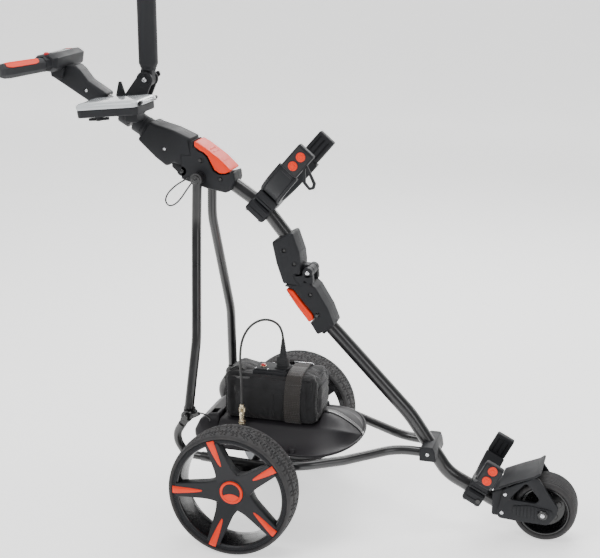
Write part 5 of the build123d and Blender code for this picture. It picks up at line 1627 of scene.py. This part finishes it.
def make_grips():
    """Eight-sided soft grips with a coloured inlay on top and a stepped collar at the root."""
    grips = []
    inlays = []
    for side in (-1, 1):
        root, end, _, across, up = grip_axes(side)
        rings = []
        for share, tall, deep in ((-0.02, 27, 29), (0.06, 28.6, 31), (0.07, 30.6, 33), (0.3, 31.5, 34),
                (0.8, 34, 36),
                (0.93, 32, 34), (1.0, 25, 26)):
            ring = []
            for a, b in ((1, 0.44), (0.44, 1), (-0.44, 1), (-1, 0.44), (-1, -0.44), (-0.44, -1), (0.44, -1),
                    (1, -0.44)):
                ring.append(root + (end - root) * share + (across * a * deep / 2 + up * b * tall / 2) * MM)
            rings.append(ring)
        grips.append(rounded_edges(stretched("grip", rings, "grip"), 2.0, 3, 12, 50))
        front = across * side
        rings = []
        for share, trim in ((0.17, 0.9), (0.2, 0.35), (0.26, 0.0), (0.5, 0.0), (0.76, 0.0), (0.84, 0.35),
                (0.88, 0.9)):
            tall = between([(0.0, 30), (0.3, 31.5), (0.8, 34), (0.93, 32), (1, 25)], share) / 2
            deep = tall + 1.1
            spots = [(-0.30 * deep * (1 - trim), tall), (0.42 * deep, tall), (0.72 * deep, 0.72 * tall),
                    ((0.98 - 0.26 * trim) * deep, (0.46 + 0.26 * trim) * tall)]
            ring = [root + (end - root) * share + (front * (a + 0.9 * (a > 0)) + up * (b + 0.9)) * MM for a,
                    b in spots]
            ring += [root + (end - root) * share + (front * (a - 1) + up * (b - 1)) * MM for a,
                    b in reversed(spots)]
            rings.append(ring)
        inlays.append(stretched("inlay", rings, "orange", 30))
    keep(joined("soft_grips", grips, 50), "handle", "grip", "grips")
    keep(joined("grip_pads", inlays, 50), "handle", "accent_orange", "grip_inlays")


def make_console():
    """Control head: faceted block, gloss window, webs beneath, the well that frames the button, the grips'
    collars and the red power cap.
    """
    outline = softened([(-520, 1034), (-530, 1060), (-522, 1068), (-484, 1073), (-470, 1064), (-474, 1040),
            (-486, 1031)], 3, 3)
    rings = []
    for y, scale in ((-80, 0.80), (-68, 1.0), (-24, 1.0), (24, 1.0), (68, 1.0), (80, 0.80)):
        rings.append([at(-500 + (x + 500) * scale, y, 1052 + (z - 1052) * scale) for x, z in outline])
    body = stretched("body", rings, "nylon", 30)
    well = [(-12, 0), (-12, 7.6), (16, 7.6), (16, 0)]
    cuts = [pin("well", at(BUTTON_AT[0] + 3, BUTTON_AT[1] + 4, 1070), Vector((-0.13, 0, 0.99)), well,
            "nylon", 40)]
    window = [[at(-503 + 14.6 * a, 8 + 35 * b, z + 0.13 * 14.6 * a) for a,
            b in ((-1, -1), (1, -1), (1, 1), (-1, 1))]
            for z in (1069.2, 1080)]
    cuts.append(stretched("window", window, "nylon"))
    parts = [rounded_edges(cut_away(body, cuts), 1.4, 3, 25, 42)]
    glass = [[at(-503 + 14 * a, 8 + 34.4 * b, z + 0.13 * 14 * a) for a,
            b in ((-1, -1), (1, -1), (1, 1), (-1, 1))]
            for z in (1066.5, 1070.6)]
    parts.append(rounded_edges(stretched("glass", glass, "gloss"), 1.0, 2))
    for side in (-1, 1):
        web = softened([(-512, 1038), (-508, 1016), (-482, 1010), (-474, 1036)], 4)
        parts.append(shell("web", web, side * 26, side * 32, "nylon", 1.2, 1.4))
        root, _, along, _, _ = grip_axes(side)
        collar = [(-10, 0), (-10, 15), (0, 17.4), (3.5, 17.4), (3.5, 0)]
        parts.append(pin("collar", root, along, collar, "nylon", 8, 20))
    keep(joined("control_head", parts), "handle", "housing", "console")
    button = [(-4, 0), (-4, 6), (1.6, 6), (3.2, 5.4), (4.4, 3.6), (4.9, 0)]
    keep(pin("power_cap", at(BUTTON_AT[0], BUTTON_AT[1], 1071), UP, button, "red", 40),
         "power_switch", "button", "power_button")


def make_neck():
    """Neck between the stem and the control head, with a bright screw in a dark well."""
    outline = [(-512, 1014), (-478, 994), (-430, 965), (-396, 944), (-375, 979), (-422, 1008), (-441, 1032),
            (-452, 1042),
            (-505, 1040)]
    neck = clamshell("neck", outline, 23, "nylon", 6, 7)
    body = recessed("handle_neck_moulding", neck, [(-427, 985)], 23, (), (), "zinc")
    keep(body, "handle", "housing", "handle_neck")


# ---------------------------------------------------------------- umbrella and scorecard holders
UMBRELLA_X = -279.0
UMBRELLA_PIVOT = (-283.0, 1014.0)
STEM_FROM = (-240.0, 874.0)
STEM_TO = (-418.0, 980.0)


def stem_place(share):
    """A point along the handle's stem."""
    return at(STEM_FROM[0] + (STEM_TO[0] - STEM_FROM[0]) * share, 0,
            STEM_FROM[1] + (STEM_TO[1] - STEM_FROM[1]) * share)


def make_umbrella_holder():
    """Open tube with a thick lip and necked foot, on the lug that tilts between the ears."""
    profile = [(0, 0), (0, 15.6), (2, 17), (6, 17.4), (8, 19), (12, 19.8), (15, 21.6), (18, 22), (176, 22),
            (178, 22.8),
            (189, 22.8), (191.6, 21.6), (192, 20.6), (190, 19.2), (27, 19), (25, 17), (25, 0)]
    tube = pin("tube", at(UMBRELLA_X, 0, 1034), UP, profile, "nylon", 80)
    parts = [tube]
    parts.append(shell("lug", [(-297, 1014), (-294, 1037), (-266, 1037), (-268, 1010)], -12, 12, "nylon",
            1.6, 2))
    parts.append(knuckle("eye", UMBRELLA_PIVOT, 17, -12, 12, "nylon"))
    keep(joined("umbrella_socket", parts), "umbrella_holder", "trim_black", "umbrella_tube")


def make_clamps():
    """Stem rings, the umbrella's ears, hubs and wing bolt, and the scorecard holder's arm and knob."""
    heading = stem_place(1) - stem_place(0)
    ring = [(-14, 17.6), (-14, 22.6), (-12.4, 24), (12.4, 24), (14, 22.6), (14, 17.6)]
    parts = [pin("ring", stem_place(0.52), heading, ring, "nylon", 64)]
    thin = [(-11, 17.6), (-11, 23), (-9.8, 24), (9.8, 24), (11, 23), (11, 17.6)]
    parts.append(pin("ring", stem_place(0.35), heading, thin, "nylon", 64))
    for side in (-1, 1):
        ear = [(-350, 956), (-299, 1023), (-268, 1002), (-300, 930)]
        parts.append(shell("ear", ear, side * 12.6, side * 20, "nylon", 1.6, 6))
        hub = [(-3.6, 0), (-3.6, 18), (-2.4, 19.4), (3, 19.4), (4, 18.2), (4, 14.6), (1.6, 13.8), (1.6, 0)]
        parts.append(pin("hub", at(UMBRELLA_PIVOT[0], side * 16.3, UMBRELLA_PIVOT[1]), sideways(side), hub,
                "nylon", 64))
        for k in range(5):
            turn = radians(90 + 72 * k)
            rib = []
            for radius, half in ((6, 1.6), (15, 1.6), (15, -1.6), (6, -1.6)):
                rib.append((UMBRELLA_PIVOT[0] + radius * cos(turn) - half * sin(turn),
                        UMBRELLA_PIVOT[1] + radius * sin(turn) + half * cos(turn)))
            parts.append(prism("rib", rib, side * 17.4, side * 20.2, "nylon"))
    parts.append(socket_screw("bolt", at(UMBRELLA_PIVOT[0], -17.8, UMBRELLA_PIVOT[1]), Vector((0, -1, 0)),
            6.2, 4.4))
    parts.append(shell("fin", [(-362, 972), (-354, 1006), (-348, 1006), (-337, 972)], -3, 3, "nylon", 1,
            2.4))
    parts.append(shell("base", [(-352, 956), (-338, 972), (-300, 950), (-312, 930)], -20, 20, "nylon", 2,
            3))
    boss = [(0, 0), (0, 8), (12.4, 8), (14, 6.6), (14, 0)]
    parts.append(pin("boss", at(UMBRELLA_PIVOT[0], 20, UMBRELLA_PIVOT[1]), LEFT, boss, "nylon", 40))
    wing = [(-22, -9, 5), (-8, -7, 3), (8, -7, 3), (22, -3, 5), (23, 9, 5), (8, 7, 3), (-8, 7, 3),
            (-21, 3, 5)]
    turn = radians(25)
    blade = [(UMBRELLA_PIVOT[0] + a * cos(turn) - b * sin(turn),
            UMBRELLA_PIVOT[1] + a * sin(turn) + b * cos(turn), r)
            for a, b, r in wing]
    parts.append(shell("wing", blade, 25, 31.6, "nylon", 1.4, 3))
    parts.append(shell("arm", [(-318, 922), (-318, 948), (-288, 945), (-288, 922)], -58, -16, "nylon", 3,
            4))
    knob = [(0, 0), (0, 8), (11, 8), (13, 6), (13, 0)]
    spot = card_place(-40, -10, -24.5)
    down = card_place(0, 0, -1) - card_place(0, 0, 0)
    parts.append(pin("knob", spot, down, knob, "nylon", 40))
    rings = []
    for depth in (-30.5, -36.5):
        turns = [2 * pi * k / 40 for k in range(40)]
        rings.append([card_place(-40 + 21 * superellipse(cos(turn)) * (1 + 0.2 * cos(2 * turn)),
                -10 + 6.4 * superellipse(sin(turn)), depth) for turn in turns])
    parts.append(rounded_edges(stretched("wings", rings, "nylon"), 1.2, 2))
    keep(joined("stem_clamps", parts), "handle", "trim_black", "accessory_clamps")


CARD_TILT = 5.7
CARD_CENTRE = (-324.0, -92.0, 972.0)
CARD_LONG = 150.0
CARD_WIDE = 116.0


def card_place(along, across, height):
    """A point in the scorecard holder: forward, to the left and up from its middle."""
    tilt = radians(CARD_TILT)
    return at(CARD_CENTRE[0] + along * cos(tilt) - height * sin(tilt), CARD_CENTRE[1] + across,
            CARD_CENTRE[2] + along * sin(tilt) + height * cos(tilt))


def card_ring(long, wide, height, corner, steps=8):
    """A rounded rectangle in the scorecard holder's own plane."""
    ring = []
    for k, (sx, sy) in enumerate(((1, 1), (-1, 1), (-1, -1), (1, -1))):
        for i in range(steps + 1):
            turn = radians(90 * k + 90 * i / steps)
            ring.append(card_place(sx * (long / 2 - corner) + corner * cos(turn),
                    sy * (wide / 2 - corner) + corner * sin(turn),
                    height))
    return ring


def inset_rings(*spots):
    """Rings round the scorecard holder, each given as its inset, height and corner radius."""
    return [card_ring(CARD_LONG - inset, CARD_WIDE - inset, height, corner) for inset, height,
            corner in spots]


def make_card_holder():
    """Shallow ribbed tray with a hinge, and the slightly domed clear lid."""
    rings = inset_rings((7, -24, 10), (4, -22, 12), (2, -8, 14), (5, -7, 13), (6, -0.4, 13), (7, -0.4, 11),
            (9, -5, 10))
    parts = [stretched("tray", rings, "nylon", 30)]
    for k in range(9):
        x = -60 + 15 * k
        section = ((-50, -5.4), (50, -5.4), (50, -4), (-50, -4))
        rib = [[card_place(edge, y, z) for y, z in section] for edge in (x - 1, x + 1)]
        parts.append(stretched("rib", rib, "nylon"))
    for y in (-43, 43):
        centre = card_place(80, y, 1)
        parts.append(pin("barrel", centre, LEFT,
                [(-5, 0), (-5, 3.4), (-4.4, 4), (4.4, 4), (5, 3.4), (5, 0)],
                "nylon", 32))
        foot = [[card_place(x, y + w, z) for x, z in ((72, -6), (80, -5), (80, 0), (72, 0))] for w in (-5,
                5)]
        parts.append(stretched("foot", foot, "nylon"))
    parts.append(pin("pin", card_place(80, 0, 1), LEFT, [(-48, 0), (-48, 1.5), (48, 1.5), (48, 0)], "steel",
            20))
    keep(joined("card_tray_moulding", parts), "handle", "trim_black", "scorecard_tray")
    rings = inset_rings((1, -6.4, 14), (-1, 1.4, 14), (2, 4.8, 13.4), (12, 7.4, 12), (34, 8.8, 10),
            (80, 9.2, 8), (80, 7.2, 8), (34, 6.8, 10), (13, 5.6, 12), (6, 3, 13),
            (3.4, -6.4, 13))
    lid = [stretched("lid", rings, "clear", 50, closed=True)]
    size = len(rings[0])
    for height in (9.2, 7.2):
        panel = card_ring(CARD_LONG - 80, CARD_WIDE - 80, height, 8)
        lid.append(new_piece("panel", panel, [list(range(size))], "clear"))
    for y in (-32, 32):
        lid.append(pin("barrel", card_place(80, y, 1), LEFT,
                [(-5, 1.7), (-5, 3.6), (-4.6, 4), (4.6, 4), (5, 3.6), (5, 1.7)], "clear", 32))
        tab = [[card_place(x, y + w, z) for x, z in ((71, 1), (78, 2.6), (78, 5), (71, 4))] for w in (-5,
                5)]
        lid.append(stretched("tab", tab, "clear"))
    keep(joined("card_lid_moulding", lid, 50), "card_lid", "clear", "scorecard_lid")


# ---------------------------------------------------------------- chassis details
STRUT_FOOT = (-143.0, 269.0)
STRUT_FOOT_Y = 156.0
# The metal and hidden nodes that keep their CAD shape, by finish.
CARRIED_OVER = {
    "steel_tube": ("chassis_rails", "axle_frame", "strut_arms", "lower_spine", "upper_spine", "strut_left",
        "strut_right", "handle_stem"),
    "bronze": ("axle_bearings",),
    "casting": ("gearbox_case", "speed_controller"),
    "motor": ("drive_motor",),
    "gloss": ("battery", "chassis_fasteners", "frame_fasteners"),
    "steel": ("drive_axle", "motor_pinion"),
    "acetal": ("drive_gear",),
}


def make_chassis_details():
    """Lobed clamp knobs with their bolts, and the plain carried-over metal parts' finishes."""
    for side in (-1, 1):
        foot_y = side * STRUT_FOOT_Y
        outline = []
        for k in range(72):
            turn = 2 * pi * k / 72
            radius = 11.6 + 1.7 * cos(6 * turn)
            outline.append((radius * cos(turn), radius * sin(turn)))
        parts = []
        rings = []
        for y, scale in ((8, 0.86), (9.2, 1.0), (23, 1.0), (25.4, 0.9), (26, 0.74)):
            rings.append([at(STRUT_FOOT[0] + x * scale, foot_y + y, STRUT_FOOT[1] + z * scale) for x,
                    z in outline])
        parts.append(stretched("knob", rings, "rubber", 45))
        shank = [(-26, 0), (-26, 4), (9, 4), (9, 0)]
        parts.append(pin("shank", at(STRUT_FOOT[0], foot_y, STRUT_FOOT[1]), LEFT, shank, "steel", 24))
        head = [(0, 0), (0, 7.6), (3.6, 7.6), (4.6, 6.4), (4.9, 0)]
        parts.append(pin("head", at(STRUT_FOOT[0], foot_y - 22.2, STRUT_FOOT[1]), Vector((0, -1, 0)), head,
                "gloss", 36))
        hand = "right" if side < 0 else "left"
        keep(joined(f"strut_clamp_{hand}", parts), "chassis", "trim_black", "strut_clamp_knobs")
    cover = [(377, 171), (377, 199), (384, 206), (408, 206), (413, 192), (416, 171)]
    saddle = [shell("cover", cover, -53, 53, "nylon", 3, 4)]
    for side in (-1, 1):
        saddle.append(socket_screw("screw", at(396, side * 53, 189), sideways(side), 4.4, 2.2))
    keep(joined("rail_joint_cover", saddle), "chassis", "housing")
    for finish, nodes in CARRIED_OVER.items():
        for node in nodes:
            paint(node, finish)


# ---------------------------------------------------------------- the add-on
class TrolleyColours(bpy.types.PropertyGroup):
    """Colours that a repaint changes."""
    accent: bpy.props.FloatVectorProperty(name="Accent",
            description="Colour of the inserts, caps and release pads",
            subtype="COLOR", size=4, min=0.0, max=1.0,
            default=linear("#F4370C"))


class TrolleySizes(bpy.types.PropertyGroup):
    """Sizes of the details that the frame doesn't set."""
    tread_depth: bpy.props.FloatProperty(name="Tread depth",
            description="How deep the rear tyres' sipes are cut",
            unit="LENGTH", min=0.0, max=0.003, default=0.0024)
    floor_reach: bpy.props.FloatProperty(name="Floor reach",
            description="How far the studio floor runs each way",
            unit="LENGTH", min=7.0, max=12.0, default=8.0)


class TROLLEY_OT_finishes(bpy.types.Operator):
    """Mix every finish once"""
    bl_idname = "trolley.finishes"
    bl_label = "Finishes"

    def execute(self, context):
        mix_finishes(context)
        return {"FINISHED"}


class TROLLEY_OT_camera(bpy.types.Operator):
    """Place the camera"""
    bl_idname = "trolley.camera"
    bl_label = "Camera"

    def execute(self, context):
        set_camera()
        return {"FINISHED"}


class TROLLEY_OT_cords(bpy.types.Operator):
    """Make the battery lead and the control cables"""
    bl_idname = "trolley.cords"
    bl_label = "Cords"

    def execute(self, context):
        make_cords()
        return {"FINISHED"}


class TROLLEY_OT_rear_wheels(bpy.types.Operator):
    """Make the tyres, moulded wheels and orange trims"""
    bl_idname = "trolley.rear_wheels"
    bl_label = "Rear wheels"

    def execute(self, context):
        make_rear_wheels()
        return {"FINISHED"}


class TROLLEY_OT_battery(bpy.types.Operator):
    """Make the battery bag, its strap, terminals, plug and connector"""
    bl_idname = "trolley.battery"
    bl_label = "Battery"

    def execute(self, context):
        tree = make_bag()
        make_strap(tree)
        make_terminals()
        return {"FINISHED"}


class TROLLEY_OT_tray(bpy.types.Operator):
    """Make the battery tray and the controller cover"""
    bl_idname = "trolley.tray"
    bl_label = "Tray and cover"

    def execute(self, context):
        make_tray()
        make_cover()
        return {"FINISHED"}


class TROLLEY_OT_front_wheel(bpy.types.Operator):
    """Make the front wheel and its fork"""
    bl_idname = "trolley.front_wheel"
    bl_label = "Front wheel and fork"

    def execute(self, context):
        make_front_wheel()
        make_fork()
        return {"FINISHED"}


class TROLLEY_OT_folds(bpy.types.Operator):
    """Make the two fold housings and their release pads"""
    bl_idname = "trolley.folds"
    bl_label = "Fold housings"

    def execute(self, context):
        make_middle_fold()
        make_upper_fold()
        return {"FINISHED"}


class TROLLEY_OT_brackets(bpy.types.Operator):
    """Make the two bag brackets with their pads and caps"""
    bl_idname = "trolley.brackets"
    bl_label = "Bag brackets"

    def execute(self, context):
        make_brackets()
        return {"FINISHED"}


class TROLLEY_OT_handle(bpy.types.Operator):
    """Make the control head, neck and grips"""
    bl_idname = "trolley.handle"
    bl_label = "Handle head"

    def execute(self, context):
        make_grips()
        make_console()
        make_neck()
        return {"FINISHED"}


class TROLLEY_OT_holders(bpy.types.Operator):
    """Make the umbrella and scorecard holders with their clamps"""
    bl_idname = "trolley.holders"
    bl_label = "Holders"

    def execute(self, context):
        make_umbrella_holder()
        make_clamps()
        make_card_holder()
        return {"FINISHED"}


class TROLLEY_OT_chassis(bpy.types.Operator):
    """Make the clamp knobs and finish the metal parts"""
    bl_idname = "trolley.chassis"
    bl_label = "Chassis"

    def execute(self, context):
        make_chassis_details()
        return {"FINISHED"}


class TROLLEY_OT_stage(bpy.types.Operator):
    """Set the floor and the lamps"""
    bl_idname = "trolley.stage"
    bl_label = "Stage"

    def execute(self, context):
        set_stage()
        return {"FINISHED"}


OPERATORS = (TROLLEY_OT_finishes, TROLLEY_OT_camera, TROLLEY_OT_cords, TROLLEY_OT_rear_wheels,
        TROLLEY_OT_battery,
        TROLLEY_OT_tray, TROLLEY_OT_front_wheel, TROLLEY_OT_folds, TROLLEY_OT_brackets,
        TROLLEY_OT_handle,
        TROLLEY_OT_holders, TROLLEY_OT_chassis, TROLLEY_OT_stage)


class TROLLEY_PT_panel(bpy.types.Panel):
    """Lists the colours, the sizes and the steps"""
    bl_label = "Electric Golf Trolley"
    bl_idname = "TROLLEY_PT_panel"
    bl_space_type = "VIEW_3D"
    bl_region_type = "UI"
    bl_category = "Trolley"

    def draw(self, context):
        self.layout.prop(context.scene.trolley_colours, "accent")
        self.layout.prop(context.scene.trolley_sizes, "tread_depth")
        self.layout.prop(context.scene.trolley_sizes, "floor_reach")
        for operator in OPERATORS:
            self.layout.operator(operator.bl_idname)


def register():
    bpy.utils.register_class(TrolleyColours)
    bpy.utils.register_class(TrolleySizes)
    for operator in OPERATORS:
        bpy.utils.register_class(operator)
    bpy.utils.register_class(TROLLEY_PT_panel)
    bpy.types.Scene.trolley_colours = bpy.props.PointerProperty(type=TrolleyColours)
    bpy.types.Scene.trolley_sizes = bpy.props.PointerProperty(type=TrolleySizes)


def unregister():
    del bpy.types.Scene.trolley_sizes
    del bpy.types.Scene.trolley_colours
    bpy.utils.unregister_class(TROLLEY_PT_panel)
    for operator in reversed(OPERATORS):
        bpy.utils.unregister_class(operator)
    bpy.utils.unregister_class(TrolleySizes)
    bpy.utils.unregister_class(TrolleyColours)


def main():
    """Builds everything in order."""
    register()
    bpy.ops.trolley.finishes()
    bpy.ops.trolley.camera()
    bpy.ops.trolley.cords()
    bpy.ops.trolley.rear_wheels()
    bpy.ops.trolley.battery()
    bpy.ops.trolley.tray()
    bpy.ops.trolley.front_wheel()
    bpy.ops.trolley.folds()
    bpy.ops.trolley.brackets()
    bpy.ops.trolley.handle()
    bpy.ops.trolley.holders()
    bpy.ops.trolley.chassis()
    bpy.ops.trolley.stage()


if __name__ == "__main__":
    main()
